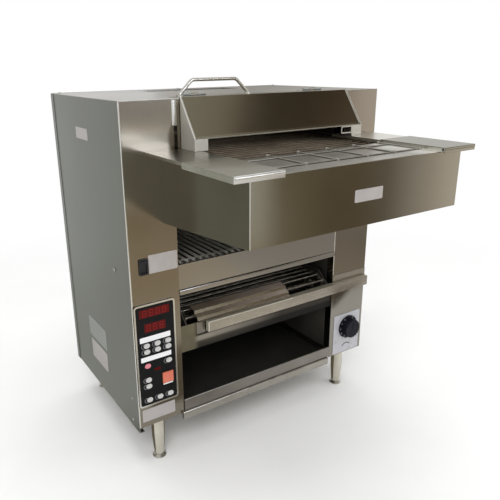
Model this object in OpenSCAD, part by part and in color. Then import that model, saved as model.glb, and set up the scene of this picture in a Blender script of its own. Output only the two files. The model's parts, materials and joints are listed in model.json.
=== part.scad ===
// Counter-top conveyor broiler: a cabinet on legs with a loading feeder and hood at the top,
// a landing grate, a bun belt, a drip tray and a control column.
// Millimetres at real size, +Z up, front toward -Y, origin under the middle of the whole machine.

/* [Cabinet] */
// Width over the two side panels
cab_w = 775; // [700:5:900]
// Depth from the front panels to the rear panel
cab_d = 477; // [430:1:560]
// Height of the side panels
cab_h = 821; // [790:1:900]
// Height of the side panels above the bench
lift = 113; // [105:1:160]
// Thickness of the sheet steel
sheet = 1.5; // [1:0.1:2]
// Width of the left front column
col_l = 127.5; // [118:0.5:145]
// Width of the right front column
col_r = 133.5; // [124:0.5:150]
// Width of the folded edges of the panels
fold = 14; // [10:1:20]
// Height of the column panels above the side panels' lower edge
col_up = 15; // [8:1:18]
// Depth of the folds beside the front opening
return_d = 25; // [18:1:40]
// Space between the chamber back and the rear panel
back_gap = 40; // [30:1:60]
// Overlap of the rear panel on the side panels
wrap = 20; // [12:1:30]

/* [Base] */
// Height of the floor above the side panels' lower edge
floor_up = 22; // [20:1:30]
// Thickness of the floor
pan_t = 2; // [1.5:0.1:3]
// Height of the floor's turned-up edge
pan_lip = 18; // [10:1:30]
// How far the floor's front nose stands out
nose = 9; // [7:0.5:25]
// How far the nose reaches in front of the left column
nose_left = 6; // [2:0.5:12]
// Space between the nose and the right column
nose_right = 10; // [2:0.5:15]
// Bending radius of the nose
nose_r = 4; // [2:0.5:6]

/* [Legs] */
// Distance of a leg from the cabinet's side
leg_in = 65; // [50:1:100]
// Distance of a leg from the cabinet's front or back
leg_set = 34; // [32:1:70]
// Diameter at the top of a leg
leg_top_d = 37; // [34:1:46]
// Diameter where the leg starts to taper
leg_mid_d = 34; // [30:1:42]
// Height of that place above the bench
leg_mid_up = 62; // [45:1:80]
// Diameter at the bottom of a leg
leg_low_d = 25.5; // [20:0.5:30]
// Diameter of the flange that is bolted to the floor
leg_flange_d = 56; // [46:1:62]
// Thickness of that flange
leg_flange_t = 4; // [3:0.5:6]
// Diameter of a foot
foot_d = 37; // [30:1:44]
// Height of a foot below its leg
foot_h = 11; // [8:1:20]
// Diameter of the foot's screw
foot_screw_d = 12; // [8:1:16]
// Length of the foot's screw in the leg
foot_screw_l = 24; // [15:1:40]

/* [Feeder] */
// Width of the feeder's box
feeder_w = 589; // [540:1:640]
// How far the feeder stands out from the cabinet
feeder_reach = 346; // [280:1:400]
// Height of the feeder's front
feeder_face = 131.5; // [100:0.5:160]
// How much lower the box is where it meets the cabinet
feeder_slope = 28; // [0:1:50]
// Distance of the side shelves below the cabinet's top
shelf_down = 111.5; // [100:0.5:150]
// Depth of the loading table below the side shelves
table_drop = 6.5; // [4:0.5:12]
// Length of the loading table
table_len = 174; // [120:1:200]
// Width over the two wing plates
wing_span = 665; // [620:1:720]
// Clearance between the meat rails and the nearer chamber wall
belt_side = 25.5; // [16:0.5:45]
// Length of a wing plate
wing_len = 185; // [140:1:230]
// Depth of a wing plate's turned-down edge
wing_lip = 13; // [8:1:20]
// How far the wing plates stand out past the box
wing_over = 9; // [5:1:20]
// Number of loading lanes
lane_n = 5; // [3:1:6]
// Side margin of the lanes
lane_side = 13; // [8:1:30]
// Diameter of the lane wires
lane_wire = 3; // [2:0.5:5]
// Distance of the lanes' front wire from the table's front
lane_front = 48; // [20:1:60]
// Length of a lane between its cross wires
lane_len = 88; // [60:1:110]

/* [Hood] */
// Distance of the hood from the left column's inner edge
hood_left = 19.5; // [18:0.5:40]
// How far the hood reaches over the right column
hood_over = 13.5; // [4:0.5:20]
// How far the hood stands out
hood_reach = 63; // [45:1:80]
// Height of the entry slot under the hood
entry_h = 26; // [20:1:40]
// Width of the posts beside the entry slot
post_w = 34; // [25:1:45]
// Clearance of the hood over the panels it rests on
hood_gap = 0.4; // [0.3:0.1:1]
// Distance of the hinge behind the front panels
hinge_back = 58; // [50:1:90]
// Outer diameter of the hinge knuckles
knuckle_d = 7.2; // [6:0.2:10]
// Diameter of the hinge pin
pin_d = 3; // [2:0.5:4]
// Length of one hinge
hinge_w = 62; // [50:1:90]
// Distance of a hinge from the hood's end
hinge_in = 40; // [20:1:80]
// Diameter of the handle bar
bar_d = 8; // [6:0.5:12]
// Distance between the handle's feet
handle_span = 187; // [150:1:240]
// Height of the handle
handle_rise = 36; // [28:1:50]
// How much the handle's ends lean in
handle_lean = 33; // [20:1:45]
// Bending radius of the handle
bend_r = 16; // [10:1:24]
// How much the bar is thicker in its bends
bend_swell = 0.3; // [0.2:0.1:0.6]
// Distance of the handle from the hood's left end
handle_in = 12; // [10:1:60]
// Distance of the handle behind the front panels
handle_back = 22; // [14:1:40]
// Width of the hook slot beside the hood
hook_w = 9; // [6:0.5:12]
// Distance of that slot from the panel's edge
hook_in = 7; // [5:0.5:10]

/* [Belts] */
// Pitch of the belt rods
belt_pitch = 25; // [20:0.5:32]
// Diameter of the belt rods
rod_d = 5; // [4:0.5:7]
// Thickness of the link plates
link_t = 2; // [1.5:0.1:3]
// Height of the link plates
link_h = 9; // [8:0.5:12]
// Running clearance between moving pieces at the sides
side_gap = 0.5; // [0.3:0.1:1]
// Radial clearance of a shaft in its bore
run_fit = 0.06; // [0.03:0.01:0.1]
// Diameter of the belt shafts
shaft_d = 18; // [14:1:22]
// Teeth of the meat belt's wheels
meat_teeth = 8; // [7:1:10]
// Teeth of the bun belt's wheels
bun_teeth = 6; // [6:1:8]
// Thickness of a wheel
wheel_t = 7; // [5:1:12]
// Thickness of the rails that carry the shafts
rail_t = 4; // [3:0.5:6]
// Height of the meat rails
rail_h = 74; // [70:1:90]
// Width of the strips that the belts slide on
strip_w = 11; // [8:1:16]
// Thickness of those strips
strip_t = 3; // [2:0.5:5]
// Clearance between the strips and the belts
strip_gap = 0.3; // [0.2:0.1:0.6]
// Clearance between the bun rails and the nearer chamber wall
bun_side = 12; // [8:0.5:30]
// Width of a gearbox
gear_w = 58; // [50:1:64]
// Height of a gearbox
gear_h = 72; // [60:1:84]
// Diameter of a motor
motor_d = 49; // [40:1:50]
// Height of a motor above its shaft
motor_h = 108; // [90:1:120]
// Height of the bun shafts above the side panels' lower edge
bun_up = 260; // [250:1:275]
// Distance of the front bun shaft behind the front panels
bun_front = 45; // [42:1:70]

/* [Burners] */
// Number of upper burners
upper_n = 3; // [2:1:4]
// Space between the upper burners
upper_gap = 28; // [10:1:50]
// Depth of an upper burner
upper_d = 310; // [250:1:330]
// Height of an upper burner
upper_h = 30; // [22:1:40]
// Distance of the upper burners below the top panel
upper_down = 30; // [20:1:36]
// Number of lower burner tubes
tube_n = 4; // [3:1:5]
// Diameter of a burner tube
tube_d = 22; // [16:1:26]
// Distance of the first tube behind the front panels
tube_front = 60; // [40:1:90]
// Distance between the tubes
tube_step = 84; // [60:1:86]
// Diameter of the gas pipe
pipe_d = 20; // [16:1:26]
// Diameter of the pipe's branches
branch_d = 12; // [8:1:14]
// Width of the gas valve
valve_w = 38; // [32:1:40]
// Diameter of the gas valve's cap
valve_cap_d = 22.8; // [18:0.2:28]
// Outer diameter of the gas inlet
inlet_d = 30; // [26:1:34]
// Bore of the gas inlet
inlet_bore = 18.6; // [16:0.1:21]
// How far the gas inlet stands out behind
inlet_out = 14; // [8:1:25]
// Depth of the gas inlet's bore
inlet_deep = 20; // [12:1:30]

/* [Grate and band] */
// Height of the cross band's top above the side panels' lower edge
band_up = 430; // [420:1:445]
// Height of the cross band
band_h = 78; // [60:1:82]
// Height of the band's lower lip
band_lip = 14; // [8:1:20]
// How far the lip stands out
lip_out = 4; // [2:0.5:8]
// Depth of the band's top and lower folds
band_fold = 22; // [16:1:30]
// Diameter of the grate bars
grate_d = 7; // [5:0.5:10]
// Pitch of the grate bars
grate_pitch = 19; // [14:1:26]
// Width of the flat bars under the grate
grate_flat = 10; // [8:1:16]
// Number of bun heating elements
element_n = 5; // [3:1:6]
// Diameter of an element
element_d = 9; // [7:0.5:12]
// Height of the elements above the bun shafts
element_up = 66; // [55:1:75]

/* [Bun shelf and tray] */
// Height of the bun housing's floor above the side panels' lower edge
house_up = 190; // [170:1:205]
// Height of the bun rails
house_h = 108; // [100:1:115]
// Height of the landing rail's top above the side panels' lower edge
rail_up = 265; // [255:1:272]
// Height of the landing rail's face
rail_face = 29; // [20:1:36]
// How far the landing rail stands out
rail_out = 14; // [8:1:25]
// Height of the rail's plate on the right column
rail_plate = 23; // [15:1:30]
// Distance of the landing rail's end from the cabinet's left side
rail_left = 200; // [170:1:240]
// Distance of the feed plate's ends from the cabinet's left side
feed_left = 178; // [150:1:190]
// Width of the feed plate
feed_w = 300; // [200:1:400]
// Clearance of the feed plate over the belt
feed_gap = 3.4; // [2:0.2:6]
// Height of a step in the feed plate
feed_step = 8; // [5:0.5:10]
// Height of the drip tray's front
tray_h = 30; // [22:1:45]
// Height of the drip tray's other walls
tray_wall = 22; // [15:1:30]
// How far the drip tray stands out
tray_out = 4; // [2:0.5:12]
// Space at the left of the drip tray
tray_left = 1; // [0.5:0.5:20]
// Space at the right of the drip tray
tray_right = 1; // [0.5:0.5:20]
// Clearance under the drip tray
tray_gap = 0.4; // [0.3:0.1:1]

/* [Controls] */
// Width of the keypad
pad_w = 109; // [100:1:112]
// Height of the keypad
pad_h = 277; // [270:1:285]
// Distance of the keypad from the cabinet's left side
pad_in = 2.5; // [1.5:0.5:4]
// Height of the keypad above the side panels' lower edge
pad_up = 74; // [60:1:90]
// Thickness of the keypad in front of the panel
pad_t = 3; // [2:0.5:5]
// Corner radius of the keypad
pad_r = 8; // [4:1:14]
// Rim of the keypad around the panel's hole
pad_rim = 8; // [6:0.5:12]
// Depth of the keypad's case behind the panel
case_d = 40; // [25:1:60]
// Width of the upper display
display_w = 80; // [70:1:90]
// Height of the upper display
display_h = 22; // [16:1:26]
// Distance of the upper display's middle below the keypad's top
display_down = 23; // [20:0.5:26]
// Width of the lower display
timer_w = 57; // [48:1:80]
// Height of the lower display
timer_h = 23; // [16:1:26]
// Distance of the lower display's middle below the keypad's top
timer_down = 62; // [56:0.5:66]
// How far the displays are left of the keys' middle
display_shift = 4; // [0:0.5:6]
// How far the keys are right of the keypad's middle
key_shift = 3; // [0:0.5:6]
// Heights of the rows of keys above the keypad's lower edge
key_rows = [168.5, 152, 113, 74, 56.5, 17.5];
// Width of a key
key_w = 16; // [12:0.5:20]
// Height of a key
key_h = 12.5; // [9:0.5:14]
// How far a key stands out
key_out = 1.6; // [1:0.1:3]
// Travel of a key
key_travel = 1; // [0.5:0.1:2]
// Depth of a key behind the keypad's face
key_deep = 6; // [4:0.5:9]
// Clearance around a key
key_gap = 0.35; // [0.3:0.05:0.6]
// Distance between the columns of keys
key_pitch = 29; // [26:0.5:31]
// Side of the power key
power_w = 29.5; // [24:0.5:34]
// Distance of the power key from the keypad's right edge
power_in = 13; // [9:0.5:16]
// Height of the power key's middle above the keypad's lower edge
power_up = 66.5; // [62:0.5:72]
// Travel of the power key
power_travel = 2; // [1:0.1:3]
// Width of the emergency switch
switch_w = 24; // [20:1:30]
// Height of the emergency switch
switch_h = 40; // [32:1:48]
// Height of the emergency switch above the side panels' lower edge
switch_up = 445; // [430:1:460]
// Distance of the emergency switch from the cabinet's left side
switch_in = 36; // [28:1:60]
// Rim of the switch's frame around the panel's hole
switch_rim = 2; // [1.5:0.5:4]
// Wall of the switch's case
switch_wall = 2; // [1.5:0.5:3]
// Corner radius of the switch's frame
switch_r = 3; // [2:0.5:5]
// Depth of the switch behind the panel
switch_deep = 18; // [14:1:30]
// Thickness of the rocker at its middle
rocker_t = 5; // [4:0.5:6]
// How much the rocker's ends stand above its middle
rocker_dish = 1.5; // [0.5:0.5:2]
// Diameter of the rocker's pivot
pivot_d = 3; // [2:0.5:4]
// Tilt of the rocker to each side
rocker_tilt = 8; // [5:1:12]
// Diameter of the thermostat knob
knob_d = 74; // [60:1:80]
// Diameter of the knob's ridged grip
grip_d = 58; // [48:1:66]
// Number of grooves around the grip
ridge_n = 18; // [12:1:24]
// Width of those grooves
ridge_d = 6; // [4:0.5:8]
// How far the middle of a groove is outside the grip
ridge_off = 1; // [0.5:0.5:2]
// Height of the pointer on the knob's front
pointer_t = 1; // [0.5:0.5:2]
// Thickness of the knob's skirt
skirt_t = 4; // [3:0.5:6]
// Height of the thermostat knob
knob_h = 24; // [16:1:40]
// Height of the knob above the side panels' lower edge
knob_up = 103; // [95:1:125]
// Distance of the knob from the cabinet's right side
knob_in = 60; // [52:1:66]
// Diameter of the knob's spindle
spindle_d = 6; // [5:0.5:8]
// Width of the knob's plate
plate_w = 108; // [100:1:114]
// Height of the knob's plate
plate_h = 132; // [120:1:136]
// Corner radius of the knob's plate
plate_r = 4; // [2:0.5:8]
// Thickness of the knob's plate
plate_t = 1.2; // [0.8:0.1:2]
// Length of the thermostat's round neck
thermo_neck = 34.5; // [30:0.5:40]
// Diameter of the thermostat
thermo_d = 44; // [36:1:50]

/* [Flue and vents] */
// Width of the flue opening
flue_w = 300; // [200:1:420]
// Depth of the flue opening
flue_d = 90; // [60:1:100]
// Depth of the flue's collar
flue_collar = 24; // [15:1:26]
// Distance of the flue from the rear panel
flue_back = 46; // [44:1:70]
// Number of vent slots in a column
vent_n = 9; // [6:1:12]
// Width of a vent slot
vent_w = 70; // [50:1:80]
// Height of a vent slot
vent_h = 6; // [4:0.5:9]
// Distance between the vent slots
vent_step = 22; // [16:1:28]

/* [Hidden] */
$fn = 48;
hw = cab_w / 2;
z_top = lift + cab_h;
z_floor = lift + floor_up;
z_col = lift + col_up;
ox0 = -hw + col_l;
ox1 = hw - col_r;
y_in = cab_d - back_gap;
y_mid = (cab_d + inlet_out - feeder_reach - wing_over) / 2;
z_shelf = z_top - shelf_down;
z_table = z_shelf - table_drop;
deck_x = wing_span / 2 - sheet;
deck_y = feeder_reach + wing_over - sheet;
belt_y = feeder_reach - table_len;
z_feeder = z_table - sheet - feeder_face;
hood_x0 = ox0 + hood_left;
hood_x1 = ox1 + hood_over;
z_lid = z_top + hood_gap;
z_foot = z_shelf + hood_gap;
z_entry = z_foot + entry_h;
hinge_z = z_lid + knuckle_d / 2;
rod_r = rod_d / 2;
shaft_r = shaft_d / 2;
meat_r = belt_pitch * meat_teeth / (2 * PI);
bun_r = belt_pitch * bun_teeth / (2 * PI);
wing_gap = 2 * (min(-ox0, ox1) - belt_side - rail_t - sheet);
rail_x = wing_gap / 2 + sheet;
meat_half = wing_gap / 2 - 4 * side_gap;
meat_z = z_table - 2 * side_gap - link_h / 2 - meat_r;
meat_y0 = -belt_y + meat_r + link_h / 2 + 4 * side_gap;
meat_y1 = y_in - meat_r - link_h;
bun_z = lift + bun_up;
bun_w = 2 * (min(-ox0, ox1) - bun_side - rail_t);
bun_half = bun_w / 2 - 4 * side_gap;
bun_y1 = y_in - bun_r - link_h;
tube_y = [for (i = [0:tube_n - 1]) tube_front + i * tube_step];
pipe_x = ox0 - sheet - pipe_d;
pipe_end = cab_d - 2 * sheet - valve_w;
z_band = lift + band_up;
z_house = lift + house_up;
z_rail = lift + rail_up;
pad_x = -hw + pad_in;
pad_z = lift + pad_up;
key_x = [for (i = [-1:1]) pad_x + pad_w / 2 + key_shift + i * key_pitch];
key_z = [for (k = key_rows) pad_z + k];
power_x = pad_x + pad_w - power_in - power_w / 2;
power_z = pad_z + power_up;
switch_x = -hw + switch_in;
switch_z = lift + switch_up;
pivot_y = rocker_t * 2 / 5;
knob_x = hw - knob_in;
knob_z = lift + knob_up;
plate_x = (ox1 + hw) / 2 + 2 * sheet;
z_plate = z_col + 2 * sheet;
turn = 90 - atan2(handle_lean, handle_rise - bar_d / 2);
bend_in = bend_r * tan(turn / 2);
hinge_x = [hood_x0 + hinge_in, hood_x1 - hinge_in - hinge_w];
leg_at = [for (x = [-1, 1], y = [leg_set, cab_d - leg_set]) [x * (hw - leg_in), y]];
z_leg = z_floor - pan_t;
knuckle_w = hinge_w / 3;
case_a = [-hw + fold + side_gap, pad_z + pad_rim];
case_b = [pad_x + pad_w - pad_rim, pad_z + pad_h - pad_rim];
fit = [run_fit, run_fit];

steel = "#a9a9a4";
bright = "#c9c9c4";
shade = "#7d7a73";
iron = "#4a4744";
black = "#23222a";

// Every piece is drawn with the front panels at y = 0 and moved back to the middle here
module part() translate([0, -y_mid, 0]) children();

module box(a, b) translate(a) cube(b - a);

module xrod(r, x0, x1, y, z) translate([x0, y, z]) rotate([0, 90, 0]) cylinder(r = r, h = x1 - x0);

module yrod(r, y0, y1, x, z) translate([x, y0, z]) rotate([-90, 0, 0]) cylinder(r = r, h = y1 - y0);

// A profile in y and z, drawn out along x
module along_x(x0, x1) translate([x0, 0, 0]) rotate([90, 0, 90]) linear_extrude(x1 - x0) children();

// An outline in x and z, drawn out along y
module along_y(y0, y1) translate([0, y1, 0]) rotate([90, 0, 0]) linear_extrude(y1 - y0) children();

module round_rect(p, q, r) {
    translate(p + [r, 0]) square([q.x - p.x - 2 * r, q.y - p.y]);
    translate(p + [0, r]) square([q.x - p.x, q.y - p.y - 2 * r]);
    for (x = [p.x + r, q.x - r], z = [p.y + r, q.y - r])
        translate([x, z]) circle(r);
}

module oval(c, w, h) translate(c) {
    square([w - h, h], center = true);
    for (s = [-1, 1])
        translate([s * (w - h) / 2, 0]) circle(h / 2);
}

// Cabinet

module base_pan() color(steel) part() {
    x0 = ox0 - nose_left;
    x1 = ox1 - nose_right;
    side = hw - sheet;
    y1 = cab_d - 2 * sheet;
    box([-side, 2 * sheet, z_floor - pan_t], [side, y1, z_floor]);
    for (s = [-1, 1])
        translate([s * (side - pan_t / 2) - pan_t / 2, 2 * sheet, z_floor])
            cube([pan_t, y1 - 2 * sheet, pan_lip]);
    box([-side, y1 - pan_t, z_floor], [side, y1, z_floor + pan_lip]);
    difference() {
        union() {
            along_x(x0, x1) nose_shape();
            for (x = [x0, x1 - pan_t])
                along_x(x, x + pan_t) nose_block();
        }
        // Room for the left column's panel
        box([x0 - sheet, -side_gap, lift - sheet], [ox0 + side_gap, 3 * sheet, z_floor + sheet]);
    }
}

// Profile of the floor's front edge
module nose_block() {
    translate([-nose, lift]) square([nose + 2 * sheet, floor_up - nose_r]);
    translate([-nose + nose_r, lift]) square([nose - nose_r + 2 * sheet, floor_up]);
    translate([-nose + nose_r, z_floor - nose_r]) circle(nose_r);
}

module nose_shape() difference() {
    nose_block();
    translate([-nose + pan_t, lift + pan_t]) square([nose + 2 * sheet, floor_up - 2 * pan_t]);
    translate([-nose_r, lift - pan_t]) square([nose + 2 * sheet, 2 * pan_t + sheet]);
}

module side_panel(z0) {
    y1 = cab_d - sheet;
    z1 = z_top - sheet;
    box([-hw, sheet, z0], [-hw + sheet, y1, z1]);
    box([-hw, sheet, z_col], [-hw + fold, 2 * sheet, z1]);
    box([-hw, y1 - sheet, z0], [-hw + fold, y1, z1]);
    box([-hw, 2 * sheet, z0], [-hw + fold, y1 - sheet, z0 + sheet]);
    box([-hw, 2 * sheet, z1 - sheet], [-hw + fold, y1 - sheet, z1]);
}

module left_side_panel() color(steel) part() side_panel(lift);

// The right panel ends level with its column
module right_side_panel() color(steel) part() mirror([1, 0, 0]) side_panel(z_col);

module rear_panel() color(steel) part() difference() {
    union() {
        box([-hw - sheet, cab_d - sheet, lift], [hw + sheet, cab_d, z_top - sheet]);
        for (s = [-1, 1])
            translate([s * (hw + sheet / 2) - sheet / 2, cab_d - wrap, lift])
                cube([sheet, wrap, cab_h - sheet]);
    }
    for (s = [-1, 1], i = [0:vent_n - 1])
        along_y(cab_d - 2 * sheet, cab_d + sheet)
            oval([s * hw / 2, lift + cab_h / 4 + i * vent_step], vent_w, vent_h);
    yrod(inlet_d / 2 + run_fit, cab_d - 2 * sheet, cab_d + sheet, pipe_x, meat_z);
}

module top_panel() color(steel) part() {
    y1 = cab_d - flue_back;
    y0 = y1 - flue_d;
    difference() {
        union() {
            box([-hw, 0, z_top - sheet], [hw, cab_d, z_top]);
            box([-flue_w / 2 - sheet, y0 - sheet, z_top - flue_collar],
                [flue_w / 2 + sheet, y1 + sheet, z_top]);
        }
        box([-flue_w / 2, y0, z_top - flue_collar - sheet], [flue_w / 2, y1, z_top + sheet]);
    }
}

module left_fascia() color(shade) part() {
    hood_edge = hood_x0 - 2 * side_gap;
    difference() {
        along_y(0, sheet)
            polygon([[-hw, z_col], [ox0, z_col], [ox0, z_shelf], [hood_edge, z_shelf],
                [hood_edge, z_top - sheet], [-hw, z_top - sheet]]);
        along_y(-sheet, 2 * sheet)
            round_rect(case_a - fit, case_b + fit, pad_r / 2);
        box([switch_x - switch_w / 2 + switch_rim, -sheet, switch_z - switch_h / 2 + switch_rim],
            [switch_x + switch_w / 2 - switch_rim, 2 * sheet, switch_z + switch_h / 2 - switch_rim]);
        // Slot beside the hood that its lift-off hook drops into
        box([hood_edge - hook_in - hook_w, -sheet, z_shelf - sheet],
            [hood_edge - hook_in, 2 * sheet, z_shelf + 2 * entry_h]);
    }
    box([ox0 - sheet, sheet, z_floor], [ox0, return_d, z_shelf]);
}

module right_fascia() color(shade) part() {
    hood_edge = max(ox1, hood_x1 + 2 * side_gap);
    along_y(0, sheet)
        polygon([[ox1, z_rail + rail_plate], [hw, z_rail + rail_plate], [hw, z_top - sheet],
            [hood_edge, z_top - sheet], [hood_edge, z_shelf], [ox1, z_shelf]]);
    box([ox1, sheet, z_rail + rail_plate], [ox1 + sheet, return_d, z_shelf]);
}

module right_control_panel() color(shade) part() {
    difference() {
        box([ox1, 0, z_col], [hw, sheet, z_rail + rail_plate]);
        yrod(spindle_d / 2 + run_fit, -sheet, 2 * sheet, knob_x, knob_z);
    }
    box([ox1, sheet, z_floor], [ox1 + sheet, return_d, z_rail + rail_plate]);
}

module cross_band() color(steel) part() along_x(ox0, ox1) difference() {
    union() {
        translate([0, z_band - band_h]) square([band_fold, band_h]);
        translate([-lip_out, z_band - band_h]) square([2 * lip_out, band_lip - lip_out]);
        translate([0, z_band - band_h + band_lip - lip_out]) circle(lip_out);
    }
    translate([sheet, z_band - band_h + sheet]) square([band_fold, band_h - 2 * sheet]);
}

module left_inner_wall() color(iron) part() difference() {
    box([ox0 - sheet, return_d, z_floor], [ox0, y_in, z_top - sheet]);
    for (y = tube_y)
        xrod(branch_d / 2 + run_fit, ox0 - 2 * sheet, ox0 + sheet, y, meat_z);
}

module right_inner_wall() color(iron) part() difference() {
    box([ox1, return_d, z_floor], [ox1 + sheet, y_in, z_top - sheet]);
    for (p = [[meat_y1, meat_z], [bun_y1, bun_z]])
        xrod(shaft_r + side_gap, ox1 - sheet, ox1 + 2 * sheet, p.x, p.y);
}

module chamber_back() color(iron) part()
    box([ox0 - sheet, y_in, z_floor], [ox1 + sheet, y_in + sheet, z_top - sheet]);

// Legs

module legs() color(bright) part()
    for (p = leg_at)
        translate([p.x, p.y, 0]) rotate_extrude()
            polygon([[0, foot_h + foot_screw_l], [foot_screw_d / 2 + run_fit, foot_h + foot_screw_l],
                [foot_screw_d / 2 + run_fit, foot_h], [leg_low_d / 2, foot_h], [leg_mid_d / 2, leg_mid_up],
                [leg_top_d / 2, z_leg - leg_flange_t], [leg_flange_d / 2, z_leg - leg_flange_t],
                [leg_flange_d / 2, z_leg], [0, z_leg]]);

module leveling_feet() color(bright) part()
    for (p = leg_at)
        translate([p.x, p.y, 0]) rotate_extrude()
            polygon([[0, 0], [foot_d / 2 - sheet, 0], [foot_d / 2, sheet], [foot_d / 2, foot_h / 4],
                [leg_low_d / 2 - sheet, foot_h * 3 / 4], [leg_low_d / 2 - sheet, foot_h],
                [foot_screw_d / 2, foot_h], [foot_screw_d / 2, foot_h + foot_screw_l - sheet],
                [0, foot_h + foot_screw_l - sheet]]);

// Feeder

module feeder_shroud() color(steel) part() {
    half = feeder_w / 2;
    z_side = z_shelf - sheet;
    box([-half, -feeder_reach, z_feeder], [half, -feeder_reach + sheet, z_table - sheet]);
    box([-half, -feeder_reach, z_feeder], [half, -feeder_reach + fold, z_feeder + sheet]);
    for (s = [-1, 1])
        along_x(s * (half - sheet / 2) - sheet / 2, s * (half - sheet / 2) + sheet / 2)
            polygon([[-feeder_reach, z_feeder], [0, z_feeder - feeder_slope], [0, z_side],
                [-feeder_reach, z_side]]);
}

module feeder_deck() color(steel) part() {
    edge = wing_gap / 2;
    box([-edge, -feeder_reach, z_table - sheet], [edge, -belt_y, z_table]);
    for (s = [0, 1])
        mirror([s, 0, 0]) {
            box([edge, -deck_y, z_shelf - sheet], [deck_x, 0, z_shelf]);
            box([edge, -deck_y, z_table - sheet], [edge + sheet, 0, z_shelf]);
            box([deck_x - sheet, -deck_y + wing_len, z_table], [deck_x, 0, z_shelf]);
        }
}

module wing() {
    y0 = -feeder_reach - wing_over;
    x1 = wing_span / 2;
    z1 = z_shelf + sheet;
    difference() {
        union() {
            box([wing_gap / 2, y0, z_shelf], [x1, y0 + wing_len, z1]);
            box([wing_gap / 2, y0, z1 - wing_lip], [x1, y0 + sheet, z1]);
            box([x1 - sheet, y0, z1 - wing_lip], [x1, y0 + wing_len, z1]);
        }
        // Rounded outer corner
        translate([x1, y0, z1 - wing_lip - sheet]) difference() {
            translate([-sheet, 0, 0]) cube([2 * sheet, sheet, wing_lip + 2 * sheet]);
            translate([-sheet, sheet, 0]) cylinder(r = sheet, h = wing_lip + 2 * sheet);
        }
    }
}

module left_wing() color(bright) part() mirror([1, 0, 0]) wing();

module right_wing() color(bright) part() wing();

module lane_guides() color(bright) part() {
    half = wing_gap / 2 - lane_side;
    step = 2 * half / lane_n;
    y0 = -feeder_reach + lane_front;
    z = z_table + lane_wire / 2;
    for (i = [0:lane_n])
        yrod(lane_wire / 2, y0, -belt_y - sheet, -half + i * step, z);
    for (y = [y0, y0 + lane_len])
        xrod(lane_wire / 2, -half - lane_wire / 2, half + lane_wire / 2, y, z);
}

// Belts

function loop_len(run, r) = 2 * run + 2 * PI * r;

// Point on the belt's path in y and z, measured from the front shaft
function loop_at(s, run, r) =
    s < run ? [s, r]
    : s < run + PI * r ? let (a = (s - run) / r * 180 / PI) [run + r * sin(a), r * cos(a)]
    : s < 2 * run + PI * r ? [2 * run + PI * r - s, -r]
    : let (a = (s - 2 * run - PI * r) / r * 180 / PI) [-r * sin(a), -r * cos(a)];

module link(p, q, x) {
    d = norm(q - p);
    translate([x, p.x, p.y]) rotate([atan2(q.y - p.y, q.x - p.x), 0, 0]) along_x(0, link_t) difference() {
        union() {
            translate([0, -link_h / 2]) square([d, link_h]);
            circle(link_h / 2);
            translate([d, 0]) circle(link_h / 2);
        }
        circle(rod_r + run_fit);
        translate([d, 0]) circle(rod_r + run_fit);
    }
}

// Cross rods joined by two chains of link plates, which sit one inside the other in turn
module belt(run, r, half) {
    n = 2 * round(loop_len(run, r) / (2 * belt_pitch));
    pts = [for (i = [0:n]) loop_at((i % n) * loop_len(run, r) / n, run, r)];
    for (i = [0:n - 1]) {
        xrod(rod_r, -half, half, pts[i].x, pts[i].y);
        row = (i % 2) * (link_t + side_gap) + side_gap;
        link(pts[i], pts[i + 1], -half + row);
        link(pts[i], pts[i + 1], half - row - link_t);
    }
}

// Toothed wheel whose tips stop just short of the belt's rods
module wheel(teeth, r, x) along_x(x - wheel_t / 2, x + wheel_t / 2) difference() {
    circle(r - rod_r - side_gap);
    for (i = [0:teeth - 1])
        rotate(90 + i * 360 / teeth) translate([r, 0]) circle(rod_r + link_h / 2);
}

module belt_shaft(teeth, r, x0, x1, half) {
    xrod(shaft_r, x0, x1, 0, 0);
    for (k = [-3, -1, 1, 3])
        wheel(teeth, r, k * half / 3.6);
}

// Strip on a rail's inner side that carries the belt's upper run
module slide_strip(x, y0, y1, z) translate([x, y0, z - link_h / 2 - strip_gap - strip_t])
    cube([strip_w, y1 - y0, strip_t]);

module meat_rails() color(iron) part() difference() {
    for (s = [0, 1])
        mirror([s, 0, 0]) {
            box([-rail_x - rail_t, -belt_y, z_shelf - sheet - rail_h], [-rail_x, y_in, z_shelf - sheet]);
            slide_strip(-rail_x, meat_y0 + belt_pitch, meat_y1 - belt_pitch, meat_z + meat_r);
        }
    for (y = [meat_y0, meat_y1])
        xrod(shaft_r + run_fit, -hw, hw, y, meat_z);
    for (y = tube_y)
        xrod(tube_d / 2 + run_fit, -hw, hw, y, meat_z);
}

module meat_belt() color(iron) part() translate([0, meat_y0, meat_z])
    belt(meat_y1 - meat_y0, meat_r, meat_half);

module meat_drive_shaft() color(steel) part() translate([0, meat_y1, meat_z])
    belt_shaft(meat_teeth, meat_r, -rail_x - 2 * rail_t, ox1 + gear_w * 2 / 3, meat_half);

module meat_idler_shaft() color(steel) part() translate([0, meat_y0, meat_z])
    belt_shaft(meat_teeth, meat_r, -rail_x - 2 * rail_t, rail_x + 2 * rail_t, meat_half);

module bun_belt() color(iron) part() translate([0, bun_front, bun_z])
    belt(bun_y1 - bun_front, bun_r, bun_half);

module bun_drive_shaft() color(steel) part() translate([0, bun_y1, bun_z])
    belt_shaft(bun_teeth, bun_r, -bun_w / 2 - 2 * rail_t, ox1 + gear_w * 2 / 3, bun_half);

module bun_idler_shaft() color(steel) part() translate([0, bun_front, bun_z])
    belt_shaft(bun_teeth, bun_r, -bun_w / 2 - 2 * rail_t, bun_w / 2 + 2 * rail_t, bun_half);

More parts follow.
